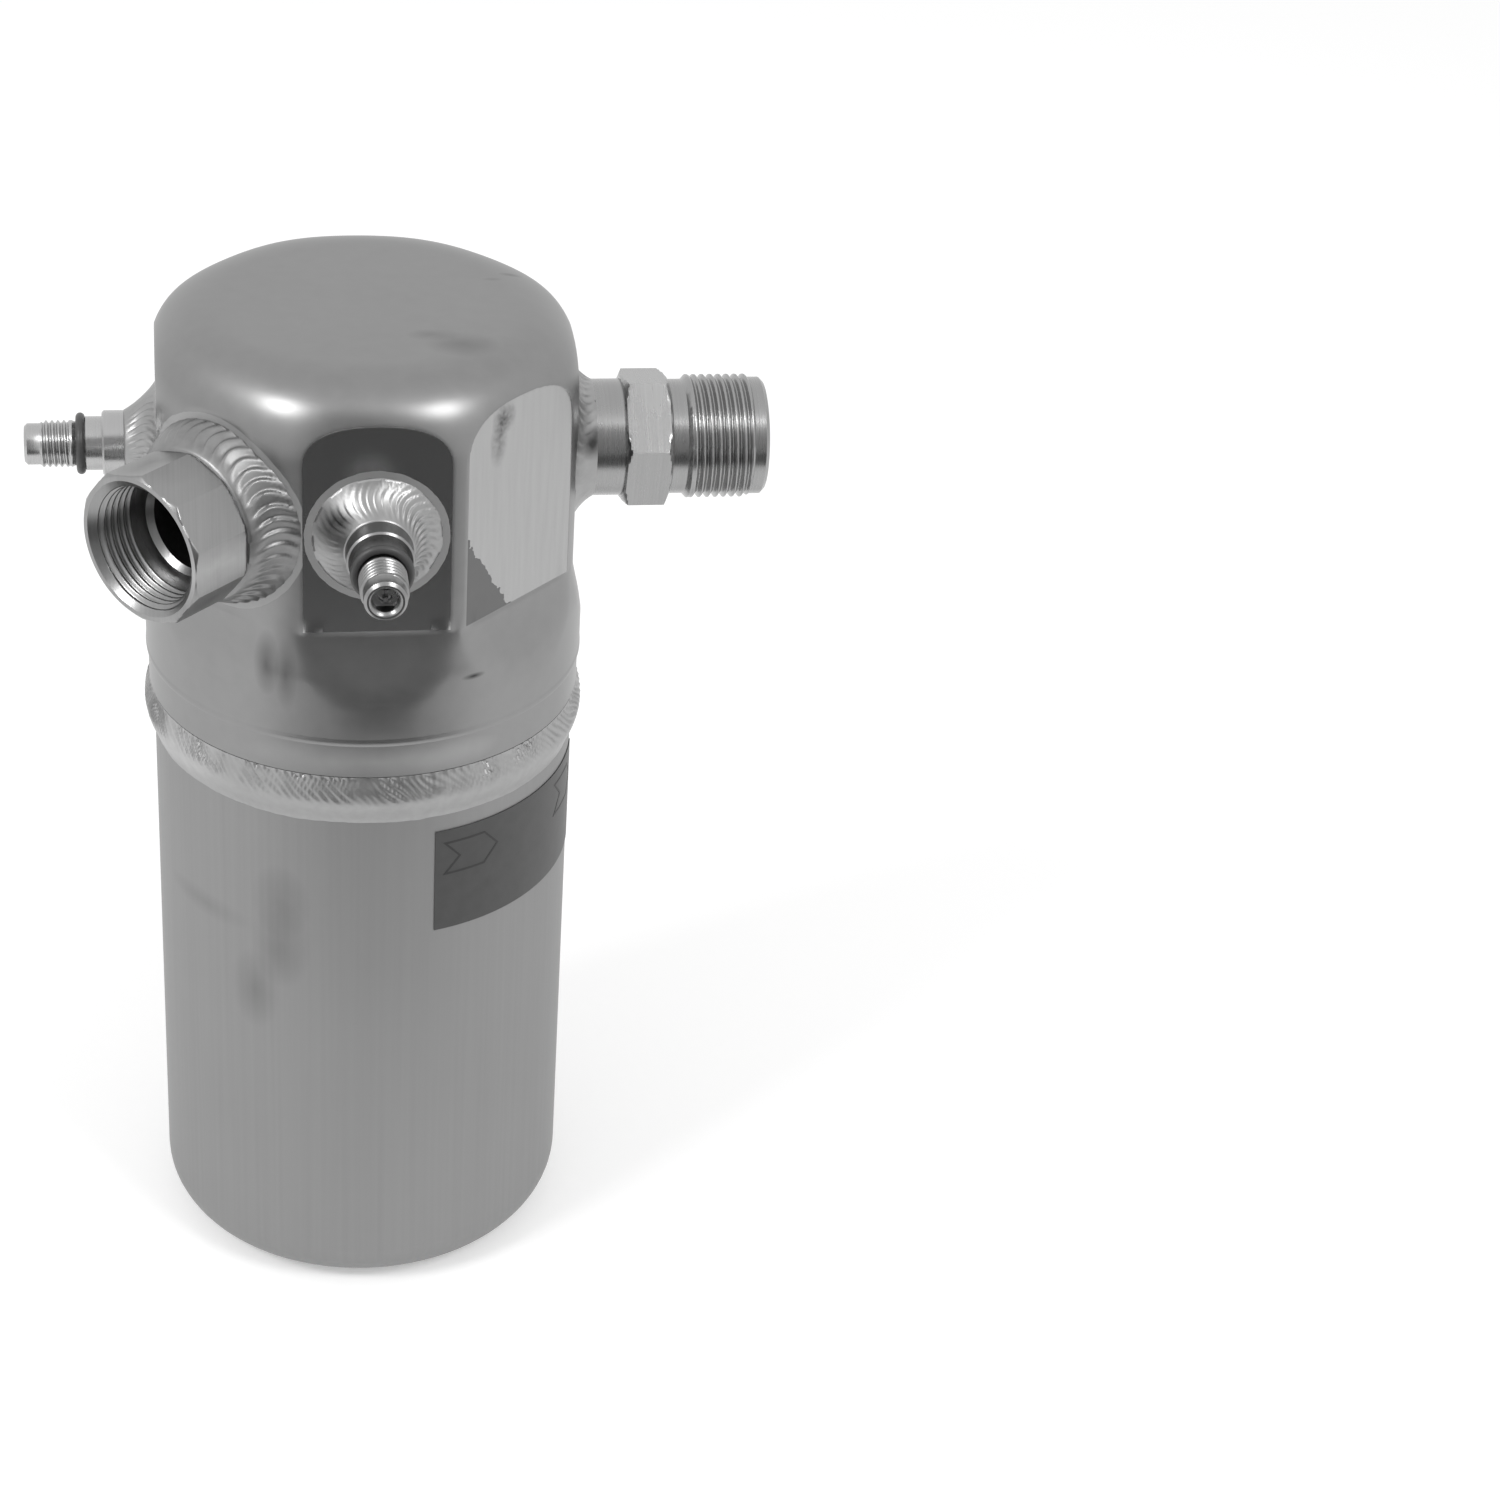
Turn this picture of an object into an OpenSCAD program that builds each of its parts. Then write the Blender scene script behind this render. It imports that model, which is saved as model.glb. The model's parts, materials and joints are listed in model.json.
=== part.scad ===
// Air conditioning accumulator: a welded aluminium can with an octagonal head and four ports.
// The can stands on its flat base at z = 0, with its axis on Z.

/* [Can] */
// Height over the flat base and the flat top
can_height = 231.3; // [225:0.1:245]
// Outside diameter of the lower shell
can_d = 93.2; // [90:0.1:94]
// Wall of the lower shell
can_wall = 2; // [1.6:0.1:2.4]
// Outside radius between the base and the side
base_round = 11.5; // [6:0.5:14]

/* [Upper shell] */
// Outside diameter of the skirt
skirt_d = 96; // [95:0.1:99]
// Height of the upper shell from its lip to its top
head_height = 89.1; // [86:0.1:96]
// Length of can that reaches up inside the skirt
lap_depth = 13; // [8:0.5:16]
// Height of the turned band above the lip
band_height = 8; // [4:0.5:12]
// Depth of the turned band below the skirt's surface
band_depth = 0.25; // [0.1:0.05:0.4]
// Radius between the flat top and the round corners
top_round = 13; // [10:0.5:13.5]
// Wall above the inside of the head
top_wall = 3; // [2.5:0.1:4]

/* [Head] */
// Distance across the eight flats
across_flats = 88.6; // [87.5:0.1:90]
// Radius of the upright corners between the flats
corner_round = 6.9; // [4:0.1:9]
// Radius between each flat and the top
flat_round = 9.5; // [6:0.5:10]
// Length of the flats from the top down to their lower edges
flat_len = 55; // [54:0.1:58]
// Width of the small ledge that the cutter left under each flat
ledge = 0.4; // [0.2:0.1:0.8]
// Height over which each scoop runs out into the skirt
scoop_drop = 16; // [10:0.5:20]
// Diameter of the space inside the head
head_bore = 82.6; // [78:0.1:83]

/* [Girth weld] */
// Height of the weld bead from its toe to the skirt's lip
bead_height = 12.6; // [8:0.1:15]
// Bulge of the bead over the straight line between its edges
bead_bulge = 1.65; // [1:0.05:2.5]
// Number of ripples around the can
bead_ripples = 110; // [60:1:120]
// Depth of each ripple
bead_ripple_depth = 0.5; // [0.2:0.05:0.7]

/* [Ports] */
// Distance of every port's axis below the top
port_drop = 32.6; // [31:0.1:33]
// Depth to which each fitting reaches past the inside of the wall
fitting_inset = 1.3; // [0.5:0.1:2]

/* [Outlet] */
// Thread diameter of the outlet
outlet_thread_d = 27; // [26:0.1:28]
// Length of the outlet's thread
outlet_thread_len = 14; // [10:0.5:18]
// Diameter of the plain lead beyond the thread
outlet_lead_d = 25.6; // [23:0.1:26]
// Length of the plain lead beyond the thread
outlet_lead_len = 3.6; // [2:0.1:5]
// Diameter of the relief behind the thread
outlet_neck_d = 25; // [22:0.1:26]
// Length of the relief behind the thread
outlet_neck_len = 3.7; // [2:0.1:5]
// Distance across the outlet's hexagon
outlet_hex = 27; // [26:0.1:30]
// Length of the outlet's hexagon
outlet_hex_len = 11.5; // [8:0.1:13]
// Turn of the outlet's hexagon about its axis
outlet_hex_turn = 17; // [0:1:30]
// Diameter of the outlet's shank
outlet_shank_d = 25.4; // [22:0.1:26]
// Length of shank between the flat and the hexagon
outlet_shank_len = 9.7; // [8:0.1:12]
// Bore at the outlet's mouth
outlet_bore = 19; // [17:0.1:20]

/* [Port welds] */
// Width of the bead at the outlet
outlet_weld_width = 4.3; // [3:0.1:6]
// Height of the bead at the outlet
outlet_weld_height = 4.8; // [3:0.1:6]
// Width of the bead at the inlet
inlet_weld_width = 6.8; // [4.5:0.1:7.2]
// Bulge of the bead at the inlet
inlet_weld_bulge = 1.2; // [0.6:0.1:1.6]
// Number of ripples around the inlet
inlet_ripples = 42; // [24:1:48]
// Depth of each ripple around the inlet
inlet_ripple_depth = 0.6; // [0.2:0.05:0.7]
// Width of the bead at each service port
service_weld_width = 6.5; // [4:0.1:7]
// Height of the bead at each service port
service_weld_height = 7; // [4:0.1:8]

/* [Inlet] */
// Bore inside the inlet's thread
inlet_bore = 25.2; // [24:0.1:26]
// Depth of the inlet's threaded bore
inlet_thread_len = 11; // [8:0.5:12]
// Diameter of the relief groove behind the thread
inlet_groove_d = 27.4; // [26.8:0.1:28]
// Width of the relief groove
inlet_groove_len = 1.6; // [1:0.1:2]
// Distance across the inlet's hexagon
inlet_hex = 30; // [29.5:0.1:32]
// Length of the inlet's hexagon
inlet_hex_len = 15.3; // [14:0.1:18]
// Turn of the inlet's hexagon about its axis
inlet_hex_turn = 16; // [0:1:30]
// Depth that the hexagon's corners are turned down at the mouth
inlet_corner_cut = 1.1; // [0.5:0.1:2.5]
// Diameter of the inlet's shank
inlet_shank_d = 28; // [26:0.1:28.6]
// Length of shank between the flat and the hexagon
inlet_shank_len = 8.6; // [7.5:0.1:11]
// Bore through the inlet's shank
inlet_passage = 19; // [17:0.1:22]

/* [Service ports] */
// Diameter of the stem
stem_d = 14; // [13:0.1:16]
// Length of stem that stands out of the head
stem_len = 11.5; // [10:0.1:12]
// Diameter of the collar beside the ring
collar_d = 11.5; // [11:0.1:12.5]
// Length of the collar
collar_len = 3.5; // [2:0.1:4]
// Diameter of the groove that the ring lies in
groove_d = 9.3; // [9:0.1:9.6]
// Width of the groove that the ring lies in
groove_len = 2.1; // [2:0.1:2.4]
// Thickness of the rubber ring
ring_wire = 1.9; // [1.6:0.1:2]
// Thread diameter of the service port
service_thread_d = 10; // [9.8:0.1:10.4]
// Length of the thread
service_thread_len = 6.6; // [5:0.1:7]
// Width of the relief between the ring and the thread
relief_len = 0.6; // [0.4:0.1:1]
// Diameter of the plain tip
tip_d = 8.8; // [8:0.1:9]
// Length of the plain tip
tip_len = 3.5; // [2.5:0.1:5]
// Chamfer at the tip
tip_chamfer = 0.6; // [0.3:0.1:0.8]
// Bore of the passage behind the valve
service_passage = 6; // [5:0.1:7]

/* [Valve] */
// Bore that the valve's core screws into
core_bore = 5.3; // [5.2:0.05:5.6]
// Depth of the core's head below the tip
core_depth = 1.9; // [1.5:0.1:2.5]
// Length of the core's threaded head
core_head_len = 5.8; // [5:0.1:6.5]
// Width left between the two key flats on the head
key_width = 3.6; // [3.2:0.1:4]
// Depth of the two key flats
key_depth = 2.2; // [1.5:0.1:3]
// Diameter of the core's barrel below the head
barrel_d = 3.7; // [3.5:0.05:3.9]
// Length of barrel below the head
barrel_len = 7.6; // [7:0.1:9]
// Length of the sealing cone under the head
gasket_len = 1.2; // [0.8:0.1:1.4]
// Bore that holds the spring
spring_bore = 2.7; // [2.6:0.05:2.9]
// Depth of the bore that holds the spring
spring_bore_depth = 8.7; // [8:0.1:9.5]
// Bore that guides the pin
guide_bore = 1.6; // [1.4:0.05:1.8]
// Diameter of the pin
pin_d = 1.1; // [0.9:0.05:1.2]
// Height of the pin above the core's head
pin_proud = 0.8; // [0.5:0.1:1.2]
// Diameter of the collar that the spring pushes on
pin_collar_d = 2.45; // [2.3:0.05:2.5]
// Thickness of that collar
pin_collar_len = 0.6; // [0.4:0.1:0.8]
// Depth of that collar below the core's head
pin_collar_depth = 1.2; // [1:0.1:2]
// Diameter of the seal at the foot of the pin
seal_d = 3.2; // [3:0.1:3.5]
// Thickness of the seal
seal_len = 0.95; // [0.7:0.05:1.2]
// Thickness of the disc under the seal
disc_len = 0.6; // [0.4:0.1:0.8]
// Thickness of the spring's wire
spring_wire = 0.3; // [0.25:0.05:0.35]
// Number of turns in the spring
spring_turns = 7; // [5:1:8]

/* [Inside] */
// Outside diameter of the suction tube
tube_d = 16; // [14:0.5:16]
// Wall of the suction tube
tube_wall = 1.2; // [1:0.1:1.5]
// Distance of each leg of the tube from the can's axis
leg_offset = 20; // [18:0.5:21]
// Radius of the elbow at the outlet
elbow_r = 18; // [16:0.5:19]
// Height of the lowest point of the tube's axis
bend_height = 30; // [26:0.5:40]
// Distance of the tube's open mouth below the head's ceiling
mouth_gap = 16.3; // [14:0.1:20]
// Diameter of the oil hole in the bend
oil_hole_d = 1.5; // [1:0.1:2]
// Diameter of the oil screen
screen_d = 18; // [16:0.5:22]
// Height of the oil screen's foot above the base
screen_foot = 5; // [4:0.5:8]
// Inside diameter of the bell over the tube's mouth
bell_bore = 27; // [25:0.5:29]
// Wall of the bell
bell_wall = 1; // [0.8:0.1:1.5]
// Height of the bell
bell_height = 34; // [28:0.5:38]
// Headroom in the bell above the tube's mouth
bell_headroom = 9; // [6:0.5:11]
// Thickness of each tab that grips the tube
tab_wall = 1.2; // [0.8:0.1:2]
// Height of each tab
tab_height = 10; // [6:0.5:14]
// Diameter around the drying bag
bag_d = 68; // [60:0.5:76]
// Height of the drying bag
bag_height = 80; // [60:1:100]
// Height of the drying bag's foot above the base
bag_foot = 56; // [52:1:62]
// Radius at the ends of the drying bag
bag_round = 9; // [5:0.5:12]
// Width of the tie around the bag
tie_width = 5; // [3:0.5:8]
// Thickness of the tie
tie_wall = 1.3; // [1:0.1:1.8]

/* [Label] */
// Height of the label
label_height = 25.7; // [20:0.1:30]
// Height of the label's lower edge above the base
label_foot = 100.4; // [60:0.1:103]
// Length of the label around the can
label_len = 53; // [30:0.5:80]
// Direction in which the label's left edge lies
label_from = -74; // [-100:1:-40]
// Thickness of the label
label_wall = 0.2; // [0.1:0.05:0.3]

/* [Fits] */
// Radial clearance of pieces that are soldered or pressed together
slip = 0.05; // [0.02:0.01:0.08]
// Distance between faces that touch
touch = 0.02; // [0.01:0.01:0.04]
// Clearance beside soft pieces
soft_gap = 0.3; // [0.2:0.05:0.5]

/* [Hidden] */

flat_count = 8;
flat_angle = 360 / flat_count;
outlet_angle = 0;
side_angle = 180;
inlet_angle = 225;
front_angle = 270;

can_r = can_d / 2;
skirt_r = skirt_d / 2;
apothem = across_flats / 2;
corner_ring = (apothem - corner_round) / cos(flat_angle / 2);
neck_r = corner_ring + corner_round + 0.1;
head_bore_r = head_bore / 2;
can_bore_r = can_r - can_wall;
lip_height = can_height - head_height;
can_top = lip_height + lap_depth;
lap_gap = 0.3;
head_ceiling = can_height - top_wall;
flats_from = can_height - flat_len;
port_height = can_height - port_drop;
inside_round = 9;
taper_top = flats_from - 4;
taper_foot = can_top + lap_gap + 6;
wall_in = head_bore_r - fitting_inset;

// Service port stations, as distances from the can's axis
stem_end = apothem + stem_len;
collar_end = stem_end + collar_len;
groove_end = collar_end + groove_len;
service_thread_from = groove_end + relief_len;
service_thread_end = service_thread_from + service_thread_len;
service_reach = service_thread_end + tip_len;
core_top = service_reach - core_depth;
core_head_foot = core_top - core_head_len;
barrel_foot = core_head_foot - barrel_len;
core_neck_len = 0.9;
seat_top = core_head_foot - core_neck_len;
seat_foot = seat_top - gasket_len;
barrel_way = barrel_d + 0.6;
stroke_room = 6;
passage_top = barrel_foot - stroke_room;
collar_top = core_top - pin_collar_depth;
spring_top = collar_top - pin_collar_len;
spring_foot = core_top - spring_bore_depth;
spring_mean_r = (spring_bore + pin_d) / 4;
disc_foot = barrel_foot - touch - seal_len - disc_len;

// Outlet and inlet stations, as distances from the can's axis
outlet_hex_from = apothem + outlet_shank_len;
outlet_hex_end = outlet_hex_from + outlet_hex_len;
outlet_thread_from = outlet_hex_end + outlet_neck_len;
outlet_thread_end = outlet_thread_from + outlet_thread_len;
outlet_reach = outlet_thread_end + outlet_lead_len;
thread_lead = 1.2;
mouth_chamfer = 0.8;
tube_stop = 2;
tube_end = outlet_hex_from - tube_stop;
inlet_hex_from = apothem + inlet_shank_len;
inlet_reach = inlet_hex_from + inlet_hex_len;
inlet_thread_foot = inlet_reach - inlet_thread_len;
inlet_mouth_chamfer = 1;
ripple_steps = 3;
bead_rows = 8;
bead_lean = 1.2;
inlet_weld_rows = 6;
inlet_weld_root = 2.4;
inlet_weld_lift = 0.03;
hex_face_inset = 0.3;
hex_chamfer_angle = 25;

tube_r = tube_d / 2;
bend_centre = bend_height + leg_offset;
elbow_height = port_height - elbow_r;
mouth_height = head_ceiling - mouth_gap;
bell_top = mouth_height + bell_headroom + bell_wall;
bell_foot = bell_top - bell_height;
label_angle = label_len / (can_r + label_wall) * 180 / PI;

$fn = 96;

// Half profile of a round solid, from z0 up to z1, with its upper edge rounded
module domed_profile(r, z0, z1, round_r) {
  translate([0, z0]) square([r, z1 - round_r - z0]);
  translate([0, z0]) square([r - round_r, z1 - z0]);
  translate([r - round_r, z1 - round_r]) circle(round_r);
}

// Ring with straight walls
module ring(r_in, r_out, z0, z1) {
  translate([0, 0, z0]) difference() {
    cylinder(r = r_out, h = z1 - z0);
    translate([0, 0, -1]) cylinder(r = r_in, h = z1 - z0 + 2);
  }
}

// Round bar between two heights
module bar(r, z0, z1) {
  translate([0, 0, z0]) cylinder(r = r, h = z1 - z0);
}

// Cone between two heights
module taper(r0, r1, z0, z1) {
  translate([0, 0, z0]) cylinder(r1 = r0, r2 = r1, h = z1 - z0);
}

// Turns Z to point out of the can at the ports' height, in the given direction
module at_port(angle) {
  rotate([0, 0, angle]) translate([0, 0, port_height]) rotate([0, 90, 0]) children();
}

// Radius of the circle that a hexagon's end is turned down to, just inside its flats
function hex_face_r(across) = across / 2 - hex_face_inset;

// Hexagonal bar with both ends chamfered, down to the circle end_r at its outer end
module hex_bar(across, z0, z1, turn, end_r) {
  corner_r = across / sqrt(3);
  face_r = hex_face_r(across);
  outer_r = corner_r + 0.5;
  drop = (outer_r - face_r) * tan(hex_chamfer_angle);
  end_drop = (outer_r - end_r) * tan(hex_chamfer_angle);
  intersection() {
    rotate([0, 0, turn]) translate([0, 0, z0]) cylinder(r = corner_r, h = z1 - z0, $fn = 6);
    rotate_extrude() polygon([[0, z0], [face_r, z0], [outer_r, z0 + drop], [outer_r, z1 - end_drop],
      [end_r, z1], [0, z1]]);
  }
}

// Outline of the head seen from above: an octagon with round corners
module head_outline() {
  corners = [for (i = [0 : flat_count - 1]) (i + 0.5) * flat_angle];
  polygon([for (a = corners, side = [-0.5, 0.5])
    [corner_ring * cos(a) + corner_round * cos(a + side * flat_angle),
     corner_ring * sin(a) + corner_round * sin(a + side * flat_angle)]]);
  for (a = corners)
    translate([corner_ring * cos(a), corner_ring * sin(a)]) circle(corner_round);
}

// Bar across the head with the round edge that joins each pair of flats to the top
module flat_pair(angle) {
  rotate([0, 0, angle]) rotate([90, 0, 0]) translate([0, 0, -can_d])
    linear_extrude(2 * can_d) for (side = [0, 1]) mirror([side, 0])
      domed_profile(apothem, lip_height, can_height, flat_round);
}

module head_block() {
  intersection() {
    translate([0, 0, flats_from - 5]) linear_extrude(can_height - flats_from + 5) head_outline();
    rotate_extrude() domed_profile(skirt_r, lip_height, can_height, top_round);
    flat_pair(0);
    flat_pair(flat_angle);
    flat_pair(2 * flat_angle);
    flat_pair(3 * flat_angle);
  }
}

// Slope that runs out from under one flat into the round skirt
module scoop() {
  slope_r = apothem + ledge;
  reach = skirt_r + 1;
  run = scoop_drop * (reach - slope_r) / (skirt_r - slope_r);
  rotate([90, 0, 0]) translate([0, 0, -skirt_r]) linear_extrude(2 * skirt_r)
    polygon([[slope_r, flats_from], [reach, flats_from - run], [reach + 2, flats_from + 2],
      [slope_r, flats_from + 2]]);
}

module skirt_block() {
  difference() {
    rotate_extrude() polygon([[0, lip_height], [skirt_r - band_depth, lip_height],
      [skirt_r - band_depth, lip_height + band_height], [skirt_r, lip_height + band_height],
      [skirt_r, flats_from - scoop_drop], [neck_r, flats_from], [0, flats_from]]);
    for (i = [0 : flat_count - 1]) rotate([0, 0, i * flat_angle]) scoop();
  }
}

// Outside of the upper shell, solid
module upper_block() {
  head_block();
  skirt_block();
}

module upper_cavity() {
  rotate_extrude() {
    domed_profile(head_bore_r, lip_height, head_ceiling, inside_round);
    polygon([[0, lip_height - 1], [can_r + slip, lip_height - 1],
      [can_r + slip, can_top + lap_gap], [can_bore_r, can_top + lap_gap],
      [can_bore_r, taper_foot], [head_bore_r, taper_top], [0, taper_top]]);
  }
}

module port_hole(angle, d) {
  at_port(angle) bar(d / 2 + slip, wall_in - 10, apothem + 5);
}

module upper_shell() {
  color([0.66, 0.66, 0.67]) difference() {
    upper_block();
    upper_cavity();
    port_hole(outlet_angle, outlet_shank_d);
    port_hole(inlet_angle, inlet_shank_d);
    port_hole(front_angle, stem_d);
    port_hole(side_angle, stem_d);
  }
}

module lower_shell() {
  color([0.7, 0.7, 0.71]) rotate_extrude() difference() {
    translate([0, can_top]) mirror([0, 1]) domed_profile(can_r, 0, can_top, base_round);
    translate([0, can_top + 1]) mirror([0, 1])
      domed_profile(can_bore_r, 0, can_top + 1 - can_wall, base_round - can_wall);
  }
}

// Share of a ripple's depth at a place x, counted in ripples: each one swells and then steps down
function ripple(x) = pow(x - floor(x), 2);

// Bulge over a straight line, from 0 at both ends to 1 in the middle
function arch(s) = 4 * s * (1 - s);

// Two triangles that fill a four-sided face
function quad(a, b, c, d) = [[a, b, c], [a, c, d]];

// Skin over closed loops of points that follow each other round a ring
module ring_skin(loops) {
  n = len(loops);
  m = len(loops[0]);
  polyhedron([for (loop = loops) each loop],
    [for (i = [0 : n - 1], j = [0 : m - 1]) let (i2 = (i + 1) % n, j2 = (j + 1) % m)
      each quad(i * m + j, i * m + j2, i2 * m + j2, i2 * m + j)]);
}

// Rippled bead in the corner between the skirt's lip and the can
module girth_weld() {
  toe = [can_r + touch + 0.01, lip_height - bead_height];
  lip = [skirt_r - band_depth, lip_height - touch];
  out = [lip[1] - toe[1], toe[0] - lip[0]] / norm(lip - toe);
  stations = bead_ripples * ripple_steps;
  loops = [for (i = [0 : stations - 1]) let (a = 360 * i / stations)
    [for (p = concat([[toe[0], lip[1]], toe],
      [for (j = [1 : bead_rows]) let (s = j / bead_rows,
        bite = arch(min(1, s * 0.75)) * ripple(i / ripple_steps + bead_lean * s))
        toe + (lip - toe) * s + out * (bead_bulge * arch(s) - bead_ripple_depth * bite)]))
      [p[0] * cos(a), p[0] * sin(a), p[1]]]];
  color([0.8, 0.8, 0.8]) ring_skin(loops);
}

// Distance of the head's surface from the can's axis, at a distance y beside the middle of a flat
function head_face(y) =
  let (flat_half = (apothem - corner_round) * tan(flat_angle / 2))
  y < flat_half ? apothem :
  y < flat_half + corner_round * sin(flat_angle) ?
    apothem - corner_round + sqrt(pow(corner_round, 2) - pow(y - flat_half, 2)) :
  sqrt(2) * apothem - y;

// Weld bead around a shank of radius r, laid on the outside of the upper shell.
// Its shape lists points as shares of the bead's width and height, from the toe to the root.
module port_weld(angle, r, width, height, shape) {
  under = 6;
  color([0.8, 0.8, 0.8]) difference() {
    at_port(angle) rotate_extrude() polygon(concat([[r - 1, apothem - under], [r + width, apothem - under]],
      [for (p = shape) [r + p[0] * width, apothem + p[1] * height]], [[r - 1, apothem + height]]));
    upper_block();
    at_port(angle) bar(r + touch, head_bore_r - 5, outlet_reach);
  }
}

module outlet_fitting() {
  color([0.78, 0.78, 0.78]) at_port(outlet_angle) difference() {
    union() {
      bar(outlet_shank_d / 2, wall_in, outlet_hex_from + 1);
      hex_bar(outlet_hex, outlet_hex_from, outlet_hex_end, outlet_hex_turn, hex_face_r(outlet_hex));
      bar(outlet_neck_d / 2, outlet_hex_end - 1, outlet_thread_from + 1);
      taper(outlet_thread_d / 2 - thread_lead, outlet_thread_d / 2, outlet_thread_from,
        outlet_thread_from + thread_lead);
      bar(outlet_thread_d / 2, outlet_thread_from + thread_lead, outlet_thread_end);
      bar(outlet_lead_d / 2, outlet_thread_end - 1, outlet_reach - mouth_chamfer);
      taper(outlet_lead_d / 2, outlet_lead_d / 2 - mouth_chamfer, outlet_reach - mouth_chamfer,
        outlet_reach);
    }
    bar(tube_r + slip, wall_in - 1, tube_end);
    bar(tube_r - tube_wall, wall_in, outlet_hex_end);
    bar(outlet_bore / 2, outlet_hex_from + tube_stop, outlet_reach + 1);
  }
}

module outlet_weld() {
  port_weld(outlet_angle, outlet_shank_d / 2, outlet_weld_width, outlet_weld_height,
    [[1, -0.2], [0.91, 0], [0.74, 0.29], [0.43, 0.54], [0.17, 0.79], [0, 1]]);
}

module inlet_fitting() {
  color([0.78, 0.78, 0.78]) at_port(inlet_angle) difference() {
    union() {
      bar(inlet_shank_d / 2, wall_in, inlet_hex_from + 1);
      hex_bar(inlet_hex, inlet_hex_from, inlet_reach, inlet_hex_turn, inlet_hex / sqrt(3) - inlet_corner_cut);
    }
    bar(inlet_passage / 2, wall_in - 1, inlet_reach);
    bar(inlet_bore / 2, inlet_thread_foot - inlet_groove_len, inlet_reach + 1);
    bar(inlet_groove_d / 2, inlet_thread_foot - inlet_groove_len, inlet_thread_foot);
    taper(inlet_bore / 2, inlet_bore / 2 + inlet_mouth_chamfer + 0.1, inlet_reach - inlet_mouth_chamfer,
      inlet_reach + 0.1);
  }
}

// Rippled bead from the inlet's hexagon down onto its flat and round the corners beside it
module inlet_weld() {
  r = inlet_shank_d / 2 + touch;
  foot_r = r + inlet_weld_width;
  root = [r + inlet_weld_root, inlet_hex_from - touch];
  stations = inlet_ripples * ripple_steps;
  loops = [for (i = [0 : stations - 1]) let (a = 360 * i / stations,
      toe = [foot_r, head_face(abs(foot_r * sin(a))) + inlet_weld_lift],
      out = [root[1] - toe[1], toe[0] - root[0]] / norm(root - toe))
    [for (p = concat(
      [for (k = [0 : inlet_weld_rows]) let (q = r + (foot_r - r) * k / inlet_weld_rows)
        [q, head_face(abs(q * sin(a))) + inlet_weld_lift]],
      [for (j = [1 : inlet_weld_rows]) let (s = j / inlet_weld_rows,
        bite = arch(s) * ripple(i / ripple_steps + arch(s) / 2))
        toe + (root - toe) * s + out * (inlet_weld_bulge * arch(s) - inlet_ripple_depth * bite)],
      [[r, root[1]]]))
      [-p[0] * cos(a), p[0] * sin(a), p[1]]]];
  color([0.8, 0.8, 0.8]) at_port(inlet_angle) ring_skin(loops);
}

module service_port(angle) {
  color([0.75, 0.75, 0.75]) at_port(angle) difference() {
    union() {
      bar(stem_d / 2, wall_in, stem_end - 0.4);
      taper(stem_d / 2, stem_d / 2 - 0.4, stem_end - 0.4, stem_end);
      bar(collar_d / 2, stem_end - 1, collar_end);
      bar(groove_d / 2, collar_end - 1, service_reach - 1);
      bar(service_thread_d / 2, service_thread_from, service_thread_end);
      bar(tip_d / 2, service_thread_end - 1, service_reach - tip_chamfer);
      taper(tip_d / 2, tip_d / 2 - tip_chamfer, service_reach - tip_chamfer, service_reach);
    }
    bar(core_bore / 2, seat_top, service_reach + 1);
    taper(barrel_way / 2, core_bore / 2, seat_foot, seat_top);
    bar(barrel_way / 2, passage_top - 1, seat_foot + 0.01);
    bar(service_passage / 2, wall_in - 1, passage_top);
  }
}

module service_weld(angle) {
  port_weld(angle, stem_d / 2, service_weld_width, service_weld_height,
    [[1, 0.06], [0.65, 0.29], [0.31, 0.56], [0.11, 0.8], [0.02, 1]]);
}

module service_ring(angle) {
  ring_r = groove_d / 2 + ring_wire / 2 + touch;
  color([0.25, 0.25, 0.26]) at_port(angle) translate([0, 0, collar_end + groove_len / 2])
    rotate_extrude() translate([ring_r, 0]) circle(ring_wire / 2);
}

// Screwed barrel that carries the pin, with two key flats on its head
module valve_core(angle) {
  color([0.72, 0.66, 0.5]) at_port(angle) difference() {
    union() {
      bar(core_bore / 2 - slip, core_head_foot, core_top);
      bar(barrel_d / 2, barrel_foot, core_head_foot + 1);
    }
    bar(spring_bore / 2, spring_foot, core_top + 1);
    bar(guide_bore / 2, barrel_foot - 1, spring_foot + 1);
    for (side = [0, 180]) rotate([0, 0, side])
      translate([key_width / 2, -core_bore, core_top - key_depth])
        cube([core_bore, 2 * core_bore, key_depth + 1]);
  }
}

module core_gasket(angle) {
  color([0.9, 0.9, 0.88]) at_port(angle) difference() {
    taper(barrel_way / 2 - slip, core_bore / 2 - slip, seat_foot + touch, seat_top - touch);
    bar(barrel_d / 2 + touch, seat_foot - 1, seat_top + 1);
  }
}

module valve_pin(angle) {
  color([0.72, 0.66, 0.5]) at_port(angle) {
    bar(pin_d / 2, disc_foot, core_top + pin_proud);
    bar(pin_collar_d / 2, spring_top, collar_top);
    bar(seal_d / 2 - 0.1, disc_foot, disc_foot + disc_len);
  }
}

module valve_seal(angle) {
  color([0.2, 0.2, 0.2]) at_port(angle)
    ring(pin_d / 2 + touch, seal_d / 2, disc_foot + disc_len + touch / 2, barrel_foot - touch);
}

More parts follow.
